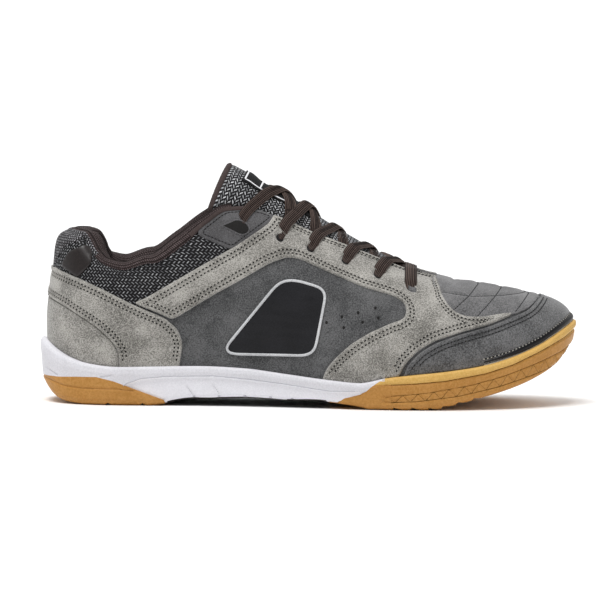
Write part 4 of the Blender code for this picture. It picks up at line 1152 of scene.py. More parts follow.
@dataclass
class Upper:
    """The upper: its skin and lining, the panels on it and their stitching."""

    form: Last
    grid_step: int = 2
    wall_mm: float = 2.0
    row_gap_mm: float = 2.0
    row_start_mm: float = 2.3
    rim_clear_mm: float = 0.9
    strip_mm: float = 2.9
    hole_mm: float = 2.2
    # Share of the length where the quarter's mesh ends
    mesh_end: float = 0.455

    def skin(self) -> None:
        """Outer skin and lining in one closed shell, open at collar, throat and underneath."""
        form, step = self.form, self.grid_step
        rows = form.points[::step, ::step]
        normals = form.normals[::step, ::step]
        count, levels = rows.shape[:2]
        outer = rows.transpose(1, 0, 2)
        inner = (rows - normals * self.wall_mm * MM).transpose(1, 0, 2)[::-1]
        points = np.concatenate([outer, inner]).reshape(-1, 3)
        faces = strip_faces(2 * levels, count, wrap=True)
        p = np.arange(count) * step / len(form.points)
        v = np.arange(levels) * step / form.level_count
        flat = form.flat(np.stack(np.meshgrid(p, v), -1).reshape(-1, 2))
        middle = outer[:-1].reshape(-1, 3)
        line = line_height(MESH_LINE, middle[:, 0])
        cloth = (middle[:, 2] > line) & (middle[:, 0] < self.mesh_end * SOLE_LENGTH)
        slots = np.concatenate([np.where(cloth, 1, 0), np.full(len(faces) - len(middle), 2)])
        finishes = [Finishes.NUBUCK, Finishes.MESH, Finishes.LINING]
        places = np.concatenate([flat, flat.reshape(levels, count, 2)[::-1].reshape(-1, 2)])
        thing = make_piece("upper_skin", points, faces, finishes, slots, cloth=places)
        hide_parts("upper")

    def holes(self) -> dict[Side, list[Array]]:
        """Places of the eyelets as turns and levels on each side."""
        spots = self.form.locate(np.array(EYELETS) * (SOLE_LENGTH, INSTEP_HEIGHT))
        return {Side.LATERAL: list(spots), Side.MEDIAL: list(spots * (-1, 1))}

    def round_hole(self, spot: Array) -> Array:
        """A round hole on the flat map."""
        middle = self.form.flat(spot[None])[0]
        turn = np.linspace(0, 2 * math.pi, 14, endpoint=False)
        return middle + self.hole_mm * np.stack([np.cos(turn), np.sin(turn)], -1)

    def rows(self, stitching: Stitching, loop: Array, lift_mm: float, count: int = 2) -> None:
        """Double stitching inside the edge of a panel, left out along the sole."""
        for k in range(count):
            inset = self.row_start_mm + k * self.row_gap_mm
            path = turned_in(loop, inset)
            turn, level = self.form.unflat(np.nan_to_num(path)).T
            clear = (level - self.form.floor_at(turn)) * self.form.length_at(turn)
            path[clear < inset + self.rim_clear_mm] = np.nan
            stitching.sew(self.form, path, lift_mm, closed=True)

    def dress(self) -> None:
        """Cuts and lays every panel, and sews it."""
        self.skin()
        pale = Stitching("suede", Finishes.THREAD, 2.2, 1.0, 0.55, hole_mm=(1.35, 0.72, 0.32))
        dark = Stitching("nubuck", Finishes.DARK_THREAD, 2.0, 1.1, 0.5, hole_mm=(1.2, 0.6, 0.32))
        eyelets = self.holes()
        self.counter(pale)
        self.toe_cap(dark)
        self.toe_strip(pale)
        self.vamp(dark)
        for side in Side:
            self.side_panels(side, pale, dark, eyelets[side])
        pale.build()
        dark.build()

    def counter(self, pale: Stitching) -> None:
        """The two suede pieces round the heel and the mesh above them."""
        form = self.form
        top = form.trace(COUNTER_TOP[::-1])
        split = form.trace(COUNTER_SPLIT[::-1])
        top[-1, 0] = split[-1, 0] = 0
        for line in (top, split):
            line[:, 0] = np.maximum(line[:, 0], 0)
        band = np.concatenate([
            top, mirrored(top)[1:], form.run(-top[0, 0], -split[0, 0])[1:-1],
            mirrored(split)[::-1], split[::-1][1:], form.run(split[0, 0], top[0, 0])[1:-1],
        ])
        band_loop = tidy_loop(form.flat(band))
        Panel(
            "counter_inset", form.folded(split, 0.0), Finishes.SUEDE,
            ("heel_counter_inset",), "light_suede", thick_mm=0.7,
        ).build(form)
        Panel(
            "counter_band", band_loop, Finishes.SUEDE,
            ("heel_counter_band",), "light_suede", thick_mm=1.3, sewn_mm=0.4,
        ).build(form)
        self.rows(pale, band_loop, 1.4)
        heel_top = form.trace(HEEL_TOP)
        heel_top[-1, 1] = 1
        over = form.run(heel_top[-1, 0], -heel_top[-1, 0], 1.0)[1:-1]
        half, low = heel_top[0, 0] * 0.5, 0.6
        foot = [(-half, low), (0, low), (half, low)]
        crown = tidy_loop(form.flat(np.concatenate([heel_top, over, mirrored(heel_top), foot])))
        Panel("heel_mesh_panel", crown, Finishes.HEEL_MESH, thick_mm=0.5).build(form)

    def toe_cap(self, dark: Stitching) -> None:
        """The nubuck cap round the toe."""
        form = self.form
        toe = form.trace(TOE_CAP)
        toe[-1, 0] = 0.5
        loop = form.folded(toe, 1.0)
        Panel(
            "toe_cap_panel", loop, Finishes.TOE, ("toe_cap",), "toe_nubuck", thick_mm=1.3, sewn_mm=0.35,
        ).build(form)
        self.rows(dark, loop, 1.4)

    def toe_strip(self, pale: Stitching) -> None:
        """The gloss strip round the toe above the rubber, with its stitches."""
        form = self.form
        start, steps, taper = turn_at(STRIP_START), 160, 24
        p = np.linspace(start, 1 - start, steps)
        length = form.length_at(p)
        level = form.floor_at(p) + (0.9 + self.strip_mm / 2) / length
        ends = np.clip(np.minimum(np.arange(steps), np.arange(steps)[::-1]) / taper, 0.2, 1)
        strip = Cord("toe_strip", Finishes.STRIP, self.strip_mm, 1.1, 12)
        strip.build(*form.pair(p, level, 1.6), False, ends)
        foot = form.floor_at(p) + 0.7 / length
        Cord("toe_strip_edge", Finishes.THREAD, 0.5, 0.6, 6).build(*form.pair(p, foot, 1.5), False)
        row = form.flat(np.stack([p, form.floor_at(p) + (self.strip_mm + 1.1) / length], -1))
        pale.sew(form, row, 1.45)

    def vamp(self, dark: Stitching) -> None:
        """The quilted vamp in front of the throat."""
        form = self.form
        edge = form.trace(VAMP)
        edge[-1, 0] = 0.5
        edge[0, 1] = 1.0
        loop = form.folded(edge, 1.0, 1.0)
        seams = []
        for line in QUILT_SEAMS:
            path = form.trace(line, reach=1)
            seams += [form.flat(path), form.flat(mirrored(path, 1.0))]
        fold = form.trace(FLEX_CREASE)
        creases = [form.flat(fold), form.flat(mirrored(fold, 1.0))]

        def relief(places: Array) -> Array:
            """Quilting: pillows between sewn channels, with one crease over the toe joint."""
            away = np.min([distance(places, seam, False) for seam in seams], 0)
            near = np.min([distance(places, crease, False) for crease in creases], 0)
            return 0.6 * (1 - np.exp(-((away / 1.7) ** 2))) - 0.7 * np.exp(-((near / 1.3) ** 2))

        # The vamp's finish is the nubuck with painted light for its upward-facing top
        Panel(
            "vamp_panel", loop, Finishes.VAMP,
            thick_mm=0.35, lift_mm=0.05, edge_mm=0.6, pitch_mm=1.2, relief=relief,
        ).build(form)
        for seam in seams:
            dark.sew(form, resample(seam, 1.0), 0.42)

    def side_panels(self, side: Side, pale: Stitching, dark: Stitching, eyelets: list[Array]) -> None:
        """Suede side panel, eyelet tab, heel patch and side inset of one side."""
        form, word = self.form, side.name.lower()

        def onto(line: Line, reach: int = 2) -> Array:
            """A closed side-view line on this side of the flat map."""
            spots = form.trace(line, True, reach)
            return tidy_loop(form.flat(spots if side is Side.LATERAL else mirrored(spots)))

        suede = onto(SUEDE)
        holes = [self.round_hole(spot) for spot in eyelets]
        Panel(
            "suede_side_" + word, suede, Finishes.SUEDE, ("side_overlay_" + word,), "light_suede",
            thick_mm=1.2, sewn_mm=0.4, holes=holes[1:],
        ).build(form)
        self.rows(pale, suede, 1.3)
        tab = onto(EYELET_TAB)
        Panel(
            "tab_" + word, tab, Finishes.TAB, ("eyelet_tab_" + word,), "toe_nubuck",
            thick_mm=0.8, lift_mm=0.0, holes=holes[:1],
        ).build(form)
        # The tab's opening: a dark teardrop of painted shade laid on the tab, for the shade inside it
        drop = form.flat(eyelets[0][None])[0] + self.teardrop() * (side.value, 1)
        Panel(
            "tab_opening_" + word, drop, Finishes.HOLE, thick_mm=0.25, lift_mm=0.75, edge_mm=0.4,
        ).build(form)
        Cord("tab_opening_edge_" + word, Finishes.TAB, 0.9, 0.7, 8).build(*form.lifted_pair(drop, 0.85))
        self.rows(dark, tab, 0.85, 1)
        p = side.value * np.linspace(*(turn_at(share) for share in TAB_EDGE), 60)
        edge = form.pair(p, np.ones_like(p), 0.9)
        Cord("tab_binding_" + word, Finishes.BINDING, 2.6, 1.2, 10).build(*edge, False)
        patch = onto(HEEL_PATCH, 1)
        Panel(
            "heel_patch_panel_" + word, patch, Finishes.SMOOTH,
            ("heel_patch_" + word,), "smooth_leather", thick_mm=1.0,
        ).build(form)
        self.side_inset(onto(SIDE_INSET, 3), word)
        # The perforations: dark dots of painted shade, for the shade inside the holes
        spots = form.locate(np.array(PERFORATIONS) * (SOLE_LENGTH, INSTEP_HEIGHT))
        spots = form.flat(spots if side is Side.LATERAL else spots * (-1, 1))
        dots = Stitching("perforations_" + word, Finishes.HOLE)
        base, above = form.lifted_pair(spots, 0.0)
        way = form.lifted(spots + (0.5, 0), 0.0) - base
        dots.add(dots.holes, base, way, above - base, (1.5, 1.7, 0.30))
        dots.build()

    @staticmethod
    def teardrop() -> Array:
        """Loop of the tab's opening round its eyelet, rounded in front and drawn out behind."""
        turn = np.linspace(0, 2 * math.pi, 60, endpoint=False)
        point = np.clip(-np.cos(turn), 0, 1) ** 3
        across = 1.2 + np.cos(turn) * (5.0 + 3.8 * point)
        return np.stack([across, np.sin(turn) * (4.2 - 1.8 * point) - 0.6], -1)

    def side_inset(self, loop: Array, word: str) -> None:
        """A plain dark panel with a raised silver-grey edge."""
        form = self.form

        def ribs(places: Array) -> Array:
            """Shallow level ribs across the panel."""
            wave = np.cos(2 * math.pi * places[:, 1] / 6.0)
            return 0.14 * wave * np.clip(distance(places, loop, True) / 4 - 0.8, 0, 1)

        Panel(
            "side_inset_panel_" + word, loop, Finishes.FILM, ("side_inset_" + word,), "inset_film",
            thick_mm=0.8, relief=ribs,
        ).build(form)
        path = soften(resample(np.concatenate([loop, loop[:1]]), 0.8)[:-1], 2, True)
        Cord("side_inset_edge_" + word, Finishes.SILVER, 1.5, 0.9).build(*form.lifted_pair(path, 0.75))


@dataclass
class Cord:
    """A cord, binding or welt of oval section laid along a surface."""

    name: str
    finish: Finishes
    width_mm: float
    thick_mm: float
    sides: int = 10

    def build(
        self, path: Array, above: Array, closed: bool = True, share: Array | float = 1.0
    ) -> bpy.types.Object:
        """Makes the cord.

        Args:
            path: its points.
            above: points straight above them, off the surface.
            closed: whether it joins up.
            share: share of the full width and thickness at each point.

        Returns:
            The object.
        """
        share = np.broadcast_to(share, len(path))[:, None] * MM / 2
        way = np.roll(path, -1, 0) - np.roll(path, 1, 0) if closed else np.gradient(path, axis=0)
        way /= np.maximum(np.linalg.norm(way, axis=1, keepdims=True), 1e-12)
        up = above - path
        up -= way * (up * way).sum(1, keepdims=True)
        up = unit(up)
        across = np.cross(up, way)
        rings = []
        for t in np.linspace(0, 2 * math.pi, self.sides, endpoint=False):
            wide, tall = across * math.cos(t) * self.width_mm, up * math.sin(t) * self.thick_mm
            rings.append(path + share * (wide + tall))
        points = np.stack(rings, 1).reshape(-1, 3)
        count = len(path)
        faces = strip_faces(count, self.sides, wrap=closed)
        faces += [] if closed else end_faces(count, self.sides)
        run = run_of(path) / MM
        cloth = np.stack([np.repeat(run, self.sides), np.tile(np.arange(self.sides) * 0.8, count)], -1)
        return make_piece(self.name, points, faces, [self.finish], cloth=cloth, sharp=70)


@dataclass
class Collar:
    """The padded knit rim round the ankle: it laps over the upper's edge and hangs inside it."""

    form: Last
    height_mm: float = 11.0
    width_mm: float = 9.0
    # Laid over the edge: what the wall adds to the width, the width at both front ends, how far those
    # drop, and how far the section's outer share reaches
    wall_mm: float = 2.6
    slim_mm: float = 2.9
    drop_mm: float = 2.4
    lap_mm: float = 9.0
    # Height above the upper's edge along the collar
    rises_mm: tuple[Pair, ...] = (
        (0.04, 1.5), (0.075, 2.6), (0.098, 2.2), (0.113, 2.0), (0.128, 4.4), (0.16, 3.8),
        (0.20, 3.8), (0.22, 4.6), (0.25, 4.0), (0.285, 5.0), (0.31, 5.2),
    )
    # Shares along: end of the mesh on the outer face, start and end of the slimming, ends of the rim
    mesh_to: float = 0.086
    full_to: float = 0.275
    thin_from: float = 0.335
    end: float = 0.385
    steps: int = 300
    # Section at full size: how far out of the upper's face and how far above its edge, each as a share
    section: tuple[Pair, ...] = (
        (0.07, -0.10), (0.10, 0.20), (0.04, 0.62), (-0.12, 0.90), (-0.34, 1.00), (-0.60, 0.96),
        (-0.84, 0.55), (-0.98, -0.15), (-1.00, -0.80), (-0.92, -1.45), (-0.74, -1.88),
        (-0.52, -1.92), (-0.36, -1.55), (-0.27, -0.90), (-0.23, -0.14),
    )

    def path(self) -> tuple[Array, Array, Array, Array]:
        """Edge of the upper round the collar, with the directions out and up, and the share along."""
        p = turn_at(self.end) * np.linspace(1, -1, self.steps)
        top = self.form.at(p, np.ones_like(p))
        normals = outward(self.form.points[:, -1, :2])
        count = len(normals)
        place_at = np.mod(p, 1.0) * count
        i = np.floor(place_at).astype(int) % count
        f = (place_at - np.floor(place_at))[:, None]
        normal = normals[i] * (1 - f) + normals[(i + 1) % count] * f
        normal = np.column_stack([unit(normal), np.zeros(len(p))])
        up = np.cross(normal, np.gradient(top, axis=0))
        up *= np.sign(up[:, 2:]) / np.linalg.norm(up, axis=1, keepdims=True)
        return top, normal, up, (1 - np.cos(2 * math.pi * p)) / 2

    def dress(self) -> None:
        """Makes the rim."""
        top, normal, up, along = self.path()
        slim = step_up(along - self.full_to, self.thin_from - self.full_to)
        rise = np.interp(along, *np.array(self.rises_mm).T) - self.drop_mm * slim
        rise = soften(rise[:, None], 8, False, 2)[:, 0]
        width = (self.width_mm + self.wall_mm) * (1 - slim) + self.slim_mm * slim
        lip = 0.35 + 1.2 * step_up(along - 0.19, 0.08)
        loop = soften(resample(np.array(self.section + self.section[:1]), 0.09)[:-1], 1, True)
        rings = []
        for out, high in loop:
            deep = self.height_mm / 2.9 * (1 - 0.75 * slim)
            tall = np.where(high > 0, high * rise, high * deep)
            tall -= lip * max(0.0, out) / 0.10 if high < 0.3 else 0
            reach = np.where(out > 0, out * self.lap_mm, out * width)
            rings.append(top + normal * (reach * MM)[:, None] + up * (tall * MM)[:, None])
        points = np.stack(rings, 1)
        count = len(loop)
        faces = strip_faces(self.steps, count) + end_faces(self.steps, count)
        run, around = run_of(top) / MM, run_of(points[self.steps // 4]) / MM
        logging.info("collar_pad: %.0f mm along, %.0f mm round its section", run[-1], around[-1])
        cloth = np.stack([np.repeat(run, count), np.tile(around, self.steps)], -1)
        outer = (loop[:, 0] > -0.16) & (loop[:, 1] < 0.80)
        slots = np.append(((along < self.mesh_to)[:-1, None] & outer).ravel(), [0, 0]).astype(int)
        finishes = [Finishes.KNIT, Finishes.HEEL_MESH]
        rim = make_piece("collar_pad", points.reshape(-1, 3), faces, finishes, slots, cloth, sharp=80)
        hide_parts("collar_roll")
        # A dark cord of painted shade along the rim's top, for the shadow gap between near rim and far
        # lining
        seam = points[:, int(np.argmax(loop[:, 1] - 0.6 * np.abs(loop[:, 0] + 0.30)))]
        Cord("collar_piping", Finishes.PIPING, 0.9, 0.7, 8).build(seam, seam + up * MM, closed=False)


@dataclass
class Tongue:
    """The padded mesh tongue, its bound edge and its plain label."""

    thick_mm: float = 4.5
    rows: int = 90
    turns: int = 48
    corner: float = 0.45
    # How far in from its edges the tongue is rounded off, and its share of thickness at the edge
    round_mm: float = 2.2
    thin: float = 0.35
    # Rows and turns that the label covers, and the turns and middle row of the lines on it
    label_rows: Pair = (5.2, 8.4)
    label_turn: float = 0.34
    line_turn: float = 0.30
    line_row: float = 7.1

    def face(self, rows: Array, turns: Array, lift_mm: float = 0.0) -> Array:
        """Points of the tongue's face, a grid of rows of its table by turns of -1 to 1."""
        count = np.arange(len(TONGUE["back"]))
        columns = {"along": count, **TONGUE}
        tilt = math.radians(TONGUE_TILT)
        square = np.array([math.sin(tilt), 0, math.cos(tilt)])
        turn = np.asarray(turns, float)[None]
        row = np.asarray(rows, float)[:, None]
        row = row - self.corner * np.abs(turn) ** 3 * (row / count[-1]) ** 6
        back, tall, wide, crown, skirt = (smooth(columns, name, row) for name in TONGUE)
        half, high = wide * BALL_WIDTH, crown * BALL_WIDTH
        radius = (half**2 + high**2) / (2 * high)
        turn = turn * (2 * np.arctan(high / half) + skirt * BALL_WIDTH / radius)
        size = radius + lift_mm * MM
        rise = high - radius + np.cos(turn) * size
        return np.stack([
            back * SOLE_LENGTH + square[0] * rise,
            TONGUE_AXIS * BALL_WIDTH + np.sin(turn) * size,
            tall * INSTEP_HEIGHT + square[2] * rise,
        ], -1)

    def line(self, rows: Array, turns: Array, lift_mm: float) -> tuple[Array, Array]:
        """Points in a row above the tongue's face, and the points a millimetre above them."""
        near, far = (self.face(rows, turns, lift).reshape(-1, 3) for lift in (lift_mm, lift_mm + 1))
        return near, far

    def slab(
        self, name: str, rows: Array, turns: Array, low: Array, high: Array, finish: Finishes
    ) -> bpy.types.Object:
        """A solid on the tongue's face between two heights, in millimetres for each grid point."""
        base, above = self.face(rows, turns), self.face(rows, turns, 1.0)
        up = above - base
        top, bottom = base + up * high[..., None], base + up * low[..., None]
        rings = np.concatenate([top, bottom[:, ::-1]], 1)
        count = rings.shape[1]
        faces = strip_faces(len(rows), count)
        for row in (0, len(rows) - 1):
            faces += seam_faces(row, count)
        run = run_of(base[:, len(turns) // 2]) / MM
        wide = np.linalg.norm(np.diff(base, axis=1), axis=2).sum(1).max() / MM
        logging.info("%s: %.0f mm long, %.0f mm across its face", name, run[-1], wide)
        side = np.asarray(turns) * 32
        cloth = np.stack(np.broadcast_arrays(np.concatenate([side, side[::-1]])[None], run[:, None]), -1)
        return make_piece(name, rings.reshape(-1, 3), faces, [finish], cloth=cloth.reshape(-1, 2), sharp=60)

    def dress(self) -> None:
        """Makes tongue, binding and label."""
        last_row = len(TONGUE["back"]) - 1
        rows = np.linspace(0, last_row, self.rows)
        turns = np.linspace(-1, 1, self.turns)
        edge = np.minimum((1 - np.abs(turns))[None] * 22, (last_row - rows)[:, None] * 4.0)
        round_off = np.sqrt(np.clip(1 - (1 - np.clip(edge / self.round_mm, 0, 1)) ** 2, 0, 1))
        swell = self.thick_mm / 2 * (self.thin + (1 - self.thin) * round_off)
        high, low = -self.thick_mm / 2 + swell, -self.thick_mm / 2 - swell
        tongue = self.slab("tongue_pad", rows, turns, low, high, Finishes.TONGUE_MESH)
        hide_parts("tongue")
        side_rows = np.linspace(4.0, last_row, 50)
        middle = -self.thick_mm / 2
        left, right = (self.line(side_rows, [turn], middle) for turn in (-1.0, 1.0))
        top = self.line([last_row], np.linspace(-1, 1, 60), middle)
        edge = [np.concatenate([a, b[1:-1], c[::-1]]) for a, b, c in zip(left, top, right)]
        Cord("tongue_binding", Finishes.BINDING, 3.4, 4.6, 14).build(*edge, closed=False)
        rows = np.linspace(*self.label_rows, 40)
        turns = np.linspace(-self.label_turn, self.label_turn, 30)
        low, high = (np.full((len(rows), len(turns)), lift) for lift in (-0.3, 0.9))
        patch = self.slab("label_patch", rows, turns, low, high, Finishes.LABEL)
        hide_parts("tongue_label")
        self.label_lines(rows)

    def label_lines(self, rows: Array) -> None:
        """A thin white woven line inside both sides and the top of the label, and one across."""
        turns = np.linspace(-self.line_turn, self.line_turn, 24)
        top_row = rows[-1] - 0.22
        sides = np.linspace(rows[0] + 0.25, top_row, 40)
        lines = ((sides, turns[:1]), (sides, turns[-1:]), ([top_row], turns), ([self.line_row], turns))
        for k, (row, turn) in enumerate(lines):
            cord = Cord("label_line_%d" % k, Finishes.WHITE_THREAD, 0.9, 0.35, 6)
            cord.build(*self.line(row, turn, 0.95), closed=False)


@dataclass
class Lacing:
    """The flat lace: crossings from each eyelet to the throat's far edge, and a last bar."""

    form: Last
    eyelets: dict[Side, list[Array]]
    width_mm: float = 7.0
    thick_mm: float = 1.15
    ribs: int = 7
    rib_mm: float = 0.22
    # How deep it sinks into the soft tongue, how high it lies on firm pieces and on another strand
    press_mm: float = 1.2
    rise_mm: float = 0.25
    bar_rise_mm: float = 0.1
    gap_mm: float = 0.05
    # Share of its width inside an eyelet, and the length over which it spreads out from there
    pinch: float = 0.72
    spread_mm: float = 4.0
    # How far forward of the crown a strand crosses the throat's far edge
    reach_mm: float = 4.0
    samples: int = 61
    soft: list[BVHTree] = field(default_factory=list)

    def supports(self, names: Sequence[str]) -> list[BVHTree]:
        """Pieces that the lace lies on, ready for rays."""
        graph = bpy.context.evaluated_depsgraph_get()
        graph.update()
        return [BVHTree.FromObject(bpy.data.objects[name], graph) for name in names]

    def tops(self, trees: Sequence[BVHTree], spots: Array) -> Array:
        """Height of the highest surface at places in plan, in shoe coordinates."""
        shift = place(np.zeros(3))
        heights = []
        for x, y in spots:
            start = Vector((x + shift[0], y + shift[1], 0.3))
            found = [tree.ray_cast(start, Vector((0, 0, -1)))[0] for tree in trees]
            heights.append(max([spot.z for spot in found if spot is not None], default=0.0))
        return np.array(heights)

    @staticmethod
    def taut(run: Array, heights: Array) -> Array:
        """The upper hull of a line of heights, as a lace pulled tight over them lies."""
        kept = [0]
        for i in range(1, len(run)):
            while len(kept) > 1:
                a, b = kept[-2], kept[-1]
                rise_b, rise_i = heights[b] - heights[a], heights[i] - heights[a]
                if rise_b * (run[i] - run[a]) >= rise_i * (run[b] - run[a]):
                    break
                kept.pop()
            kept.append(i)
        return np.interp(run, run[kept], heights[kept])

    def line(self, ends: tuple[Array, Array, Array], run: Array) -> tuple[Array, Array]:
        """Points in plan through three places, with half the width sideways at each."""
        start, crown, end = ends
        bend = 2 * crown - (start + end) / 2
        run = run[:, None]
        middle = start * (1 - run) ** 2 + bend * 2 * run * (1 - run) + end * run**2
        way = unit((bend - start) * (1 - run) + (end - bend) * run)
        return middle, np.stack([-way[:, 1], way[:, 0]], -1) * self.width_mm * MM / 2

    def strap(
        self, ends: tuple[Array, Array, Array], firm: list[BVHTree], below: list[BVHTree], rise_mm: float
    ) -> tuple[Array, Array]:
        """Left and right edges of the lace's underside on its way through three places in plan."""
        run = np.linspace(0, 1, self.samples)
        middle, across = self.line(ends, run)
        lines = []
        for share in (-0.95, -0.5, 0, 0.5, 0.95):
            spots = middle + across * share
            sunk = self.tops(self.soft, spots) - self.press_mm * MM
            heights = np.maximum(self.tops(firm, spots) + rise_mm * MM, sunk)
            if below:
                heights = np.maximum(heights, self.tops(below, spots) + self.gap_mm * MM)
            lines.append(self.taut(run, heights))
        left, right = lines[0], lines[-1]
        for share, line in zip((0.25, 0.5, 0.75), lines[1:-1]):
            short = np.maximum(line - left - (right - left) * share, 0)
            left, right = left + short, right + short
        return np.column_stack([middle - across, left]), np.column_stack([middle + across, right])

    def ribbon(self, name: str, left: Array, right: Array, width: Array) -> bpy.types.Object:
        """A ribbed ribbon between two edges, with its share of the full width at each step."""
        middle = (left + right) / 2
        across = unit(soften(right - left, 5, False))
        way = unit(soften(np.gradient(middle, axis=0), 4, False, 2))
        up = np.cross(across, way)
        up *= np.where(up[:, 2:] < 0, -1, 1)
        across = np.cross(way, up)
        share = np.linspace(-1, 1, 61)
        crown = (1 - share**4) ** 0.5
        rib = self.rib_mm * np.cos(math.pi * (self.ribs + 1) * share + math.pi * (self.ribs % 2)) * crown
        rib = np.concatenate([rib, np.zeros(len(share) - 2)])
        top = self.thick_mm * (0.5 + 0.5 * crown)
        bottom = self.thick_mm * (0.5 - 0.5 * crown)
        both, tall = np.concatenate([share, share[-2:0:-1]]), np.concatenate([top, bottom[-2:0:-1]])
        rings = []
        curl = 1.0 + 1.2 * (1 - width)
        for k in range(len(middle)):
            flat = both * self.width_mm * width[k] / 2
            bow = (1 - (flat / (self.width_mm * width[k] / 2)) ** 2) * (1 - width[k]) * 1.8
            high = tall * curl[k] + bow + rib * np.clip(width[k] * 4 - 3, 0, 1)
            rings.append(middle[k] + (np.outer(flat, across[k]) + np.outer(high, up[k])) * MM)
        points = np.array(rings)
        count = points.shape[1]
        faces = strip_faces(len(points), count) + end_faces(len(points), count)
        run = run_of(middle) / MM
        logging.info("%s: %.0f mm long, %.1f mm wide", name, run[-1], self.width_mm)
        side = (both + 1) * (self.ribs / 2)
        cloth = np.stack(np.broadcast_arrays(side[None], run[:, None]), -1).reshape(-1, 2)
        return make_piece(name, points.reshape(-1, 3), faces, [Finishes.LACE], cloth=cloth, sharp=75)

    def through(self, left: Array, right: Array, hole: Array, far: Array) -> tuple[Array, Array, Array]:
        """Carries a strap on at both ends, down its hole and under the throat's far edge.

        Args:
            left: points of its left edge.
            right: points of its right edge.
            hole: a point at the bottom of the eyelet.
            far: a point under the far edge.

        Returns:
            Both edges and the share of the full width at each step.
        """
        middle, half = (left + right) / 2, (right - left) / 2
        spots = np.concatenate([[hole], middle[3:-2], [far]])
        halves = np.concatenate([half[3:4], half[3:-2], half[-3:-2]])
        run = run_of(spots)
        at = np.linspace(0, run[-1], 90)
        halves = points_at(at, run, halves)
        spots = soften(points_at(at, run, spots), 2, False, 2)
        return spots - halves, spots + halves, self.widths(at / MM)

    def widths(self, away_mm: Array) -> Array:
        """Share of the full width at distances from an eyelet."""
        return self.pinch + (1 - self.pinch) * step_up(away_mm, self.spread_mm)

    def dress(self) -> None:
        """Makes the crossings, the last bar and the dark wells of the eyelets, which are painted shade."""
        form = self.form
        holes = {side: np.array(spots) for side, spots in self.eyelets.items()}
        surface = {side: form.at(*spots.T, 1.2) for side, spots in holes.items()}
        under = {side: form.at(*spots.T, -1.5) for side, spots in holes.items()}
        self.soft = self.supports(["tongue_pad"])
        names = [word + side.name.lower() for word in ("suede_side_", "tab_") for side in Side]
        firm = self.supports(["label_patch", "upper_skin", *names])
        edges = {}
        for side in Side:
            p = np.linspace(0.19, 0.47, 400) * side.value
            line = form.at(p, np.ones_like(p))
            edges[side] = [line[int(np.argmin(np.abs(line[:, 0] - x * SOLE_LENGTH)))] for x, _ in EYELETS]
        for k in range(len(EYELETS) - 1):
            pieces = []
            for side in (Side.MEDIAL, Side.LATERAL):
                start = surface[side][k][:2]
                crown = np.array([LACE_CROWNS[k] * SOLE_LENGTH, TONGUE_AXIS * BALL_WIDTH])
                edge = edges[Side(-side.value)][k + 1][1]
                end = np.array([crown[0] + self.reach_mm * MM, edge - side.value * 0.0015])
                below = self.supports([piece.name for piece in pieces])
                left, right = self.strap((start, crown, end), firm, below, self.rise_mm)
                deep = (left[-1, 2] + right[-1, 2]) / 2 - 0.0065
                far = np.append(end + (0.0, side.value * 0.003), deep)
                sides = self.through(left, right, under[side][k], far)
                pieces.append(self.ribbon("lace_%s_%d" % (side.name.lower(), k + 1), *sides))
            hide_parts("lace_crossing_%d" % (k + 1))
        first, last = surface[Side.LATERAL][-1][:2], surface[Side.MEDIAL][-1][:2]
        left, right = self.strap((first, (first + last) / 2, last), firm, [], self.bar_rise_mm)
        middle, half = (left + right) / 2, (right - left) / 2
        spots = np.concatenate([[under[Side.LATERAL][-1]], middle[3:-3], [under[Side.MEDIAL][-1]]])
        spots = soften(resample(spots, 0.6 * MM), 2, False, 2)
        share = np.linspace(0, 1, len(spots))
        halves = points_at(share, np.linspace(0, 1, len(half)), half)
        run = share * np.linalg.norm(np.diff(spots, axis=0), axis=1).sum() / MM
        width = self.widths(np.minimum(run, run[-1] - run))
        bar = self.ribbon("lace_last_bar", spots - halves, spots + halves, width)
        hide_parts("lace_bar")
        # Dark discs of painted shade in the eyelets, for the shade inside the holes
        wells = Stitching("eyelet", Finishes.HOLE)
        for side, spots in holes.items():
            base, above = form.pair(*spots.T, 0.15)
            way = form.at(spots[:, 0] + 0.002, spots[:, 1], 0.15) - base
            wells.add(wells.holes, base, way, above - base, (4.3, 4.3, 0.3))
        wells.build()


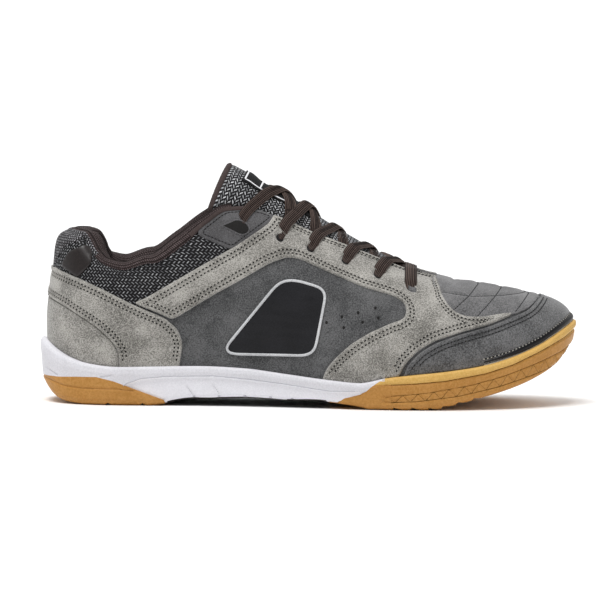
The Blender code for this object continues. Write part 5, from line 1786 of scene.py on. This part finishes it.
@dataclass
class SoleUnit:
    """Midsole, heel wedge and forefoot outsole, with the grooves, ribs and steps of their sides."""

    form: Last
    columns: int = 640
    rows: int = 42
    # Height of the band of painted shade along the foam's foot under the arch
    shank_mm: float = 0.9
    # From the underside (0) to the rim (1), inset as a share of FEATHER_INSET
    profile: tuple[Pair, ...] = (
        (0.0, 0.80), (0.05, 0.50), (0.14, 0.30), (0.35, 0.20), (0.60, 0.12), (0.82, 0.00),
        (0.93, 0.03), (0.98, 0.14), (1.0, 0.30),
    )

    def __post_init__(self) -> None:
        """Works out plan, normals and heights of every column."""
        self.along, self.side = ring(self.columns)
        self.edge = plan(self.along, self.side)
        self.normal = outward(self.edge)
        x = self.edge[:, 0]
        self.under, self.rim = sole_foot(x), rim_heights(self.along, self.side)
        self.turn = np.arange(2 * self.columns) / (2 * self.columns)
        run = run_of(self.edge) / MM
        self.from_toe = np.abs(run - run[self.columns])

    def boundary(self, x: Array) -> Array:
        """Height of the joint between gum and foam along the shoe."""
        heel = line_height(HEEL_GUM, x)
        front = line_height(FRONT_GUM, x)
        return np.where(x < 0.4 * SOLE_LENGTH, heel, front)

    def face(self, columns: Array, z: Array, relief: WallRelief, lift_mm: float = 0.0) -> Array:
        """Points of the side wall at one height for each column, or above it by lift."""
        under, rim = self.under[columns], self.rim[columns]
        rise = np.clip((z - under) / (rim - under), 0, 1)
        inset = np.interp(rise, *np.array(self.profile).T) * FEATHER_INSET
        edge = self.edge[columns]
        depth = relief(edge[:, 0], z, self.from_toe[columns]) * MM - lift_mm * MM
        return np.column_stack([edge - self.normal[columns] * (inset + depth)[:, None], z])

    def wall(self, low: Array, high: Array, relief: WallRelief, columns: Array) -> Array:
        """Rows of the side wall between two heights.

        Args:
            low: foot of the wall at each column.
            high: top of the wall at each column.
            relief: depth in millimetres for places along, height and distance from the toe in millimetres.
            columns: the columns wanted.

        Returns:
            Points, one row of columns for each height.
        """
        shares = np.linspace(0, 1, self.rows)
        return np.array([self.face(columns, low + (high - low) * share, relief) for share in shares])

    def cup(self, columns: Array) -> Array:
        """Rows from the rim down inside the wall, just under the upper's skin, to the foot bed."""
        p = self.turn[columns]
        floor = self.form.floor_at(p)
        return np.array([self.form.at(p, floor * share, -0.6) for share in (1.0, 0.6, 0.3, 0.0)])

    def solid(
        self, name: str, rings: Array, finishes: Sequence[Finishes], paint: Relief
    ) -> bpy.types.Object:
        """A solid through rows of an arc of columns, closed underneath, on top and at its ends."""
        rows, count = rings.shape[:2]
        faces = strip_faces(rows, count, closed=False)
        half = count // 2
        for r in (0, rows - 1):
            faces += seam_faces(r, count)
            if count % 2:
                faces.append((r * count + half - 1, r * count + half, r * count + half + 1))
        for r in range(rows - 1):
            faces.append((r * count, (r + 1) * count, (r + 1) * count + count - 1, r * count + count - 1))
        points = rings.reshape(-1, 3)
        middles = np.array([points[list(f)].mean(0) for f in faces])
        return make_piece(name, points, faces, finishes, paint(middles), sharp=42)

    @staticmethod
    def line_groove(x: Array, z: Array, line: Line, width_mm: float, depth_mm: float) -> Array:
        """Depth of a groove along a side-view line."""
        path = np.array(line) * (SOLE_LENGTH, INSTEP_HEIGHT)
        away = distance(np.stack([x, z], -1), path, False) / MM
        return depth_mm * np.exp(-((away / width_mm) ** 2))

    def trim(self, name: str, columns: Array, z: Array, relief: WallRelief, width_mm: float) -> None:
        """A thin line of painted shade along the foot of a groove of the side wall, at a height for each
        column.
        """
        z = np.maximum(z, self.under[columns] + 0.8 * MM)
        path = self.face(columns, z, relief, 0.02)
        above = path + np.column_stack([self.normal[columns], np.zeros(len(columns))]) * MM
        finish = Finishes.FOAM_LINE if relief == self.foam_relief else Finishes.GUM_LINE
        Cord(name, finish, width_mm, 0.3, 6).build(path, above, closed=False)

    def between(self, start: float, end: float) -> Array:
        """Columns of the lateral side between two shares of the length."""
        x = self.edge[: self.columns, 0] / SOLE_LENGTH
        return np.arange(int(np.searchsorted(x, start)), int(np.searchsorted(x, end)))

    def trims(self) -> None:
        """Fine lines of painted shade in the grooves of rubber and foam."""
        count = 2 * self.columns
        start = int(self.between(RAND_LINE[1][0], 1.0)[0])
        columns = np.arange(start, count - start + 1)
        x = self.edge[columns, 0]
        relief = self.front_relief
        top, foot = line_height(ZIGZAG_TOP, x), line_height(ZIGZAG_FOOT, x)
        self.trim("rand_line", columns, line_height(RAND_LINE, x), relief, 0.7)
        self.trim("zigzag_top_line", columns, top, relief, 0.4)
        self.trim("zigzag_foot_line", columns, foot, relief, 0.4)
        saw = self.saw(self.from_toe[columns])
        self.trim("zigzag_line", columns, foot + (top - foot) * saw, relief, 0.45)
        relief = self.foam_relief
        for side in Side:
            word = side.name.lower()
            columns = self.between(0.158, 0.592) * side.value % count
            height = line_height(EVA_GROOVE, self.edge[columns, 0])
            self.trim("foam_line_" + word, columns, height, relief, 0.45)
            for k, mark in enumerate(EVA_MARKS[2:]):
                columns = self.between(mark[0][0], mark[1][0]) * side.value % count
                height = line_height(mark, self.edge[columns, 0])
                self.trim("foam_mark_%d_%s" % (k, word), columns, height, relief, 0.6)
            for k, spot in enumerate(EVA_NOTCHES):
                columns = self.between(spot - 0.0035, spot + 0.0035) * side.value % count
                height = self.under[columns] + 1.6 * MM
                self.trim("foam_notch_%d_%s" % (k, word), columns, height, relief, 0.9)

    @staticmethod
    def saw(s: Array) -> Array:
        """Share of the zigzag band's height at a distance from the toe."""
        return 1 - np.abs(2 * np.mod(s / ZIGZAG_PITCH + 0.1, 1.0) - 1)

    def foam_relief(self, x: Array, z: Array, s: Array) -> Array:
        """The midsole's recessed lower side, its small marks and the notches of its lower edge."""
        line = line_height(EVA_GROOVE, x)
        start, end = EVA_GROOVE[0][0] * SOLE_LENGTH, EVA_GROOVE[-1][0] * SOLE_LENGTH
        here = step_up(x - start, 0.008) * (1 - step_up(x - end, 0.008))
        depth = 0.9 * step_up(line - z, 0.0009) * here
        for mark in EVA_MARKS:
            depth = depth + self.line_groove(x, z, mark, 0.55, 0.7)
        under = sole_foot(x)
        for spot in EVA_NOTCHES:
            notch = np.clip(1 - np.abs(x - spot * SOLE_LENGTH) / NOTCH_CUT[0], 0, 1)
            depth = depth + 1.6 * notch * np.clip(1 - (z - under) / NOTCH_CUT[1], 0, 1)
        return depth

    def front_relief(self, x: Array, z: Array, s: Array) -> Array:
        """Groove under the rand and the zigzag band on the forefoot's side."""
        depth = self.line_groove(x, z, RAND_LINE, 0.6, 0.9)
        top, foot = line_height(ZIGZAG_TOP, x), line_height(ZIGZAG_FOOT, x)
        saw = self.saw(s)
        height = np.clip((z - foot) / np.maximum(top - foot, 1e-4), -1, 2)
        inside_band = step_up(height - 0.02, 0.06) * (1 - step_up(height - 0.94, 0.06))
        inside_band = inside_band * step_up(x - 0.632 * SOLE_LENGTH, 0.004)
        gap = np.abs(height - saw) * (top - foot) / MM
        depth = depth + 0.55 * inside_band * np.exp(-((gap / 0.42) ** 2))
        depth = depth + 0.30 * inside_band * step_up(saw - height, 0.15)
        depth = depth + self.line_groove(x, z, ZIGZAG_TOP[1:], 0.40, 0.55)
        depth = depth + self.line_groove(x, z, ZIGZAG_FOOT[1:], 0.40, 0.45)
        return depth

    def heel_relief(self, x: Array, z: Array, s: Array) -> Array:
        """One groove round the heel wedge."""
        return self.line_groove(x, z, HEEL_GROOVE_LINE, 0.5, 0.6)

    def teeth(self, x: Array) -> Array:
        """How far the saw-tooth steps cut up into the forefoot's lower edge."""
        cut = np.zeros_like(x)
        for spot in LUG_TEETH:
            t = (x - spot * SOLE_LENGTH) / LUG_CUT[0]
            step = np.clip(1 - np.abs(t), 0, 1) * LUG_CUT[1]
            cut = np.maximum(cut, np.where((t > -0.15) & (t < 1), step, 0))
        return cut

    def heel_teeth(self, x: Array) -> Array:
        """Two cross grooves under the heel."""
        cut = np.zeros_like(x)
        for spot in HEEL_GROOVES:
            away = np.abs(x - spot * SOLE_LENGTH) / HEEL_CUT[0]
            cut = np.maximum(cut, np.clip(1 - away, 0, 1) * HEEL_CUT[1])
        return cut

    def dress(self) -> None:
        """Makes the three solids of the sole."""
        count = 2 * self.columns
        x = self.edge[:, 0] / SOLE_LENGTH
        heel_count = int(np.searchsorted(x[: self.columns], HEEL_END))
        columns = np.arange(-heel_count, heel_count + 1) % count
        ex = self.edge[columns, 0]
        high = np.maximum(np.minimum(self.boundary(ex), self.rim[columns]), self.under[columns])
        low = np.minimum(self.under[columns] + self.heel_teeth(ex), high)
        rings = self.wall(low, high, self.heel_relief, columns)
        heel = self.solid("heel_wedge", rings, [Finishes.GUM], lambda m: np.zeros(len(m), int))
        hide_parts("outsole_heel")

        start = int(np.searchsorted(x[: self.columns], FRONT_START))
        columns = np.arange(start, count - start + 1)
        ex = self.edge[columns, 0]
        joint = np.minimum(self.boundary(ex), self.rim[columns])
        high = np.where(ex > EVA_END * SOLE_LENGTH, self.rim[columns], joint)
        high = np.maximum(high, self.under[columns])
        low = np.minimum(self.under[columns] + self.teeth(ex), high)
        rings = np.concatenate([self.wall(low, high, self.front_relief, columns), self.cup(columns)])

        def paint(middles: Array) -> Array:
            """Rand above its groove, gum below."""
            return (middles[:, 2] > line_height(RAND_LINE, middles[:, 0])).astype(int)

        front = self.solid("forefoot_outsole", rings, [Finishes.GUM, Finishes.RAND], paint)
        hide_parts("outsole_forefoot")

        end = int(np.searchsorted(x[: self.columns], EVA_END + 0.004))
        columns = np.arange(-end, end + 1) % count
        ex = self.edge[columns, 0]
        gum = (ex < HEEL_END * SOLE_LENGTH) | (ex > FRONT_START * SOLE_LENGTH)
        low = np.minimum(np.maximum(self.under[columns], self.boundary(ex) * gum), self.rim[columns])
        wall = self.wall(low, self.rim[columns], self.foam_relief, columns)
        rings = np.concatenate([wall, self.cup(columns)])

        def shade(middles: Array) -> Array:
            """The recess in its own paler finish, and the foam's foot under the arch in near-black painted
            shade.
            """
            x_share = middles[:, 0] / SOLE_LENGTH
            below = middles[:, 2] < line_height(EVA_GROOVE, middles[:, 0]) - 0.0004
            under = middles[:, 2] < sole_foot(middles[:, 0]) + self.shank_mm * MM
            recess = (below & (x_share > 0.155) & (x_share < 0.60)).astype(int)
            # Faces this low between heel wedge and forefoot unit take the painted shade of the arch
            return np.where(under & (x_share > HEEL_END) & (x_share < FRONT_START), 2, recess)

        foam = self.solid("foam_midsole", rings, [Finishes.EVA, Finishes.RECESS, Finishes.SHANK], shade)
        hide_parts("midsole")
        self.trims()
        self.insole()

    def insole(self) -> None:
        """The cloth-covered insole inside."""
        n = 400
        p = np.arange(n) / n
        rings = []
        for level, lift in ((0.0, 0.0), (0.02, 3.6), (0.015, 4.4)):
            row = self.form.at(p, np.full(n, level), -3.0)
            row[:, 2] = self.form.at(p, np.zeros(n))[:, 2] + lift * MM
            if lift > 4:
                row[:, :2] -= outward(row[:, :2]) * 0.0015
            rings.append(row)
        rings = np.array(rings)
        faces = strip_faces(3, n)
        for a in (0, 2 * n):
            faces += [(a + i, a + i + 1, a + (n - 1 - i) % n, a + (n - i) % n) for i in range(n // 2)]
        faces = [f for f in faces if len(set(f)) == 4]
        thing = make_piece("insole_pad", rings.reshape(-1, 3), faces, [Finishes.FOAM], sharp=60)
        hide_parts("insole")


@dataclass
class Studio:
    """Pale floor, soft lights and the camera."""

    distance: float = 7.0
    azimuth: float = 1.0
    elevation: float = 4.4
    roll: float = 0.5
    frame_width: float = 0.3248
    aim: tuple[float, float, float] = (-0.0047, 0.0, 0.0551)
    # The room is white behind the shoe and darker behind the camera
    front: float = 0.30
    horizon: float = 0.35
    back: float = 1.08
    sun: float = 2.2
    sun_way: tuple[float, float, float] = (0.3, 0.5, -1.6)
    floor_half: float = 6.0
    floor_grey: float = 0.93

    def light(self, name: str, spot: tuple[float, float, float], size: float, power: float) -> None:
        """A soft square light that looks at the shoe."""
        lamp = bpy.data.lights.new(name, "AREA")
        lamp.size = size
        lamp.energy = power
        thing = bpy.data.objects.new(name, lamp)
        thing.location = spot
        thing.rotation_euler = (Vector(self.aim) - Vector(spot)).to_track_quat("-Z", "Y").to_euler()
        bpy.context.scene.collection.objects.link(thing)

    def build(self) -> None:
        """Makes floor, lights, world and camera."""
        scene = bpy.context.scene
        scene.view_settings.view_transform = "Standard"
        world = bpy.data.worlds.new("studio")
        scene.world = world
        world.use_nodes = True
        tree = world.node_tree
        way = add_node(tree, "TexCoord").outputs["Generated"]
        _, depth, height = add_node(tree, "SeparateXYZ", Vector=way).outputs
        levels = {"To_Min": self.front, "To_Max": self.back}
        share = add_node(tree, "MapRange", Value=depth, From_Min=-0.3, From_Max=0.4, **levels)
        levels = {"To_Min": self.horizon, "To_Max": 1.0}
        low = add_node(tree, "MapRange", Value=height, From_Min=0.02, From_Max=0.5, **levels)
        both = add_node(tree, "Math", {"operation": "MULTIPLY"}, _0=share, _1=low)
        sky = tree.nodes["Background"]
        sky.inputs["Color"].default_value = (1, 1, 1, 1)
        tree.links.new(both.outputs[0], sky.inputs["Strength"])
        mesh = bpy.data.meshes.new("floor")
        corners = [(-1, -1), (1, -1), (1, 1), (-1, 1)]
        corners = [(x * self.floor_half, y * self.floor_half, 0) for x, y in corners]
        mesh.from_pydata(corners, [], [(0, 1, 2, 3)])
        floor = bpy.data.objects.new("floor", mesh)
        floor.location = (0, 0, -0.0002)
        # Matt white paint rolled on board: even and without gloss
        paint = bpy.data.materials.new("floor_paint")
        paint.use_nodes = True
        shader = paint.node_tree.nodes["Principled BSDF"]
        shader.inputs["Base Color"].default_value = (*[self.floor_grey] * 3, 1)
        shader.inputs["Roughness"].default_value = 0.7
        mesh.materials.append(paint)
        scene.collection.objects.link(floor)
        self.light("key", (-0.4, -0.8, 1.6), 0.9, 5)
        self.light("fill", (1.0, -1.5, 0.8), 1.0, 4)
        sun = bpy.data.lights.new("sun", "SUN")
        sun.energy = self.sun
        sun.angle = math.radians(30)
        thing = bpy.data.objects.new("sun", sun)
        thing.rotation_euler = Vector(self.sun_way).to_track_quat("-Z", "Y").to_euler()
        scene.collection.objects.link(thing)
        camera = bpy.data.cameras.new("camera")
        camera.sensor_width = 36
        camera.lens = 36 * self.distance / self.frame_width
        turn, lean = math.radians(self.azimuth), math.radians(self.elevation)
        way = Vector((math.sin(turn) * math.cos(lean), -math.cos(turn) * math.cos(lean), math.sin(lean)))
        thing = bpy.data.objects.new("camera", camera)
        thing.location = Vector(self.aim) + way * self.distance
        look = (-way).to_track_quat("-Z", "Y")
        thing.rotation_euler = (look @ Quaternion((0, 0, 1), math.radians(self.roll))).to_euler()
        scene.collection.objects.link(thing)
        scene.camera = thing


def main() -> None:
    """Dresses the shoe, one sub-assembly after another."""
    logging.basicConfig(level=logging.INFO, format="%(message)s")
    form = Last()
    upper = Upper(form)
    upper.dress()
    logging.info("upper")
    Collar(form).dress()
    logging.info("collar")
    Tongue().dress()
    logging.info("tongue")
    Lacing(form, upper.holes()).dress()
    logging.info("lace")
    SoleUnit(form).dress()
    logging.info("sole")
    Studio().build()


if __name__ == "__main__":
    main()
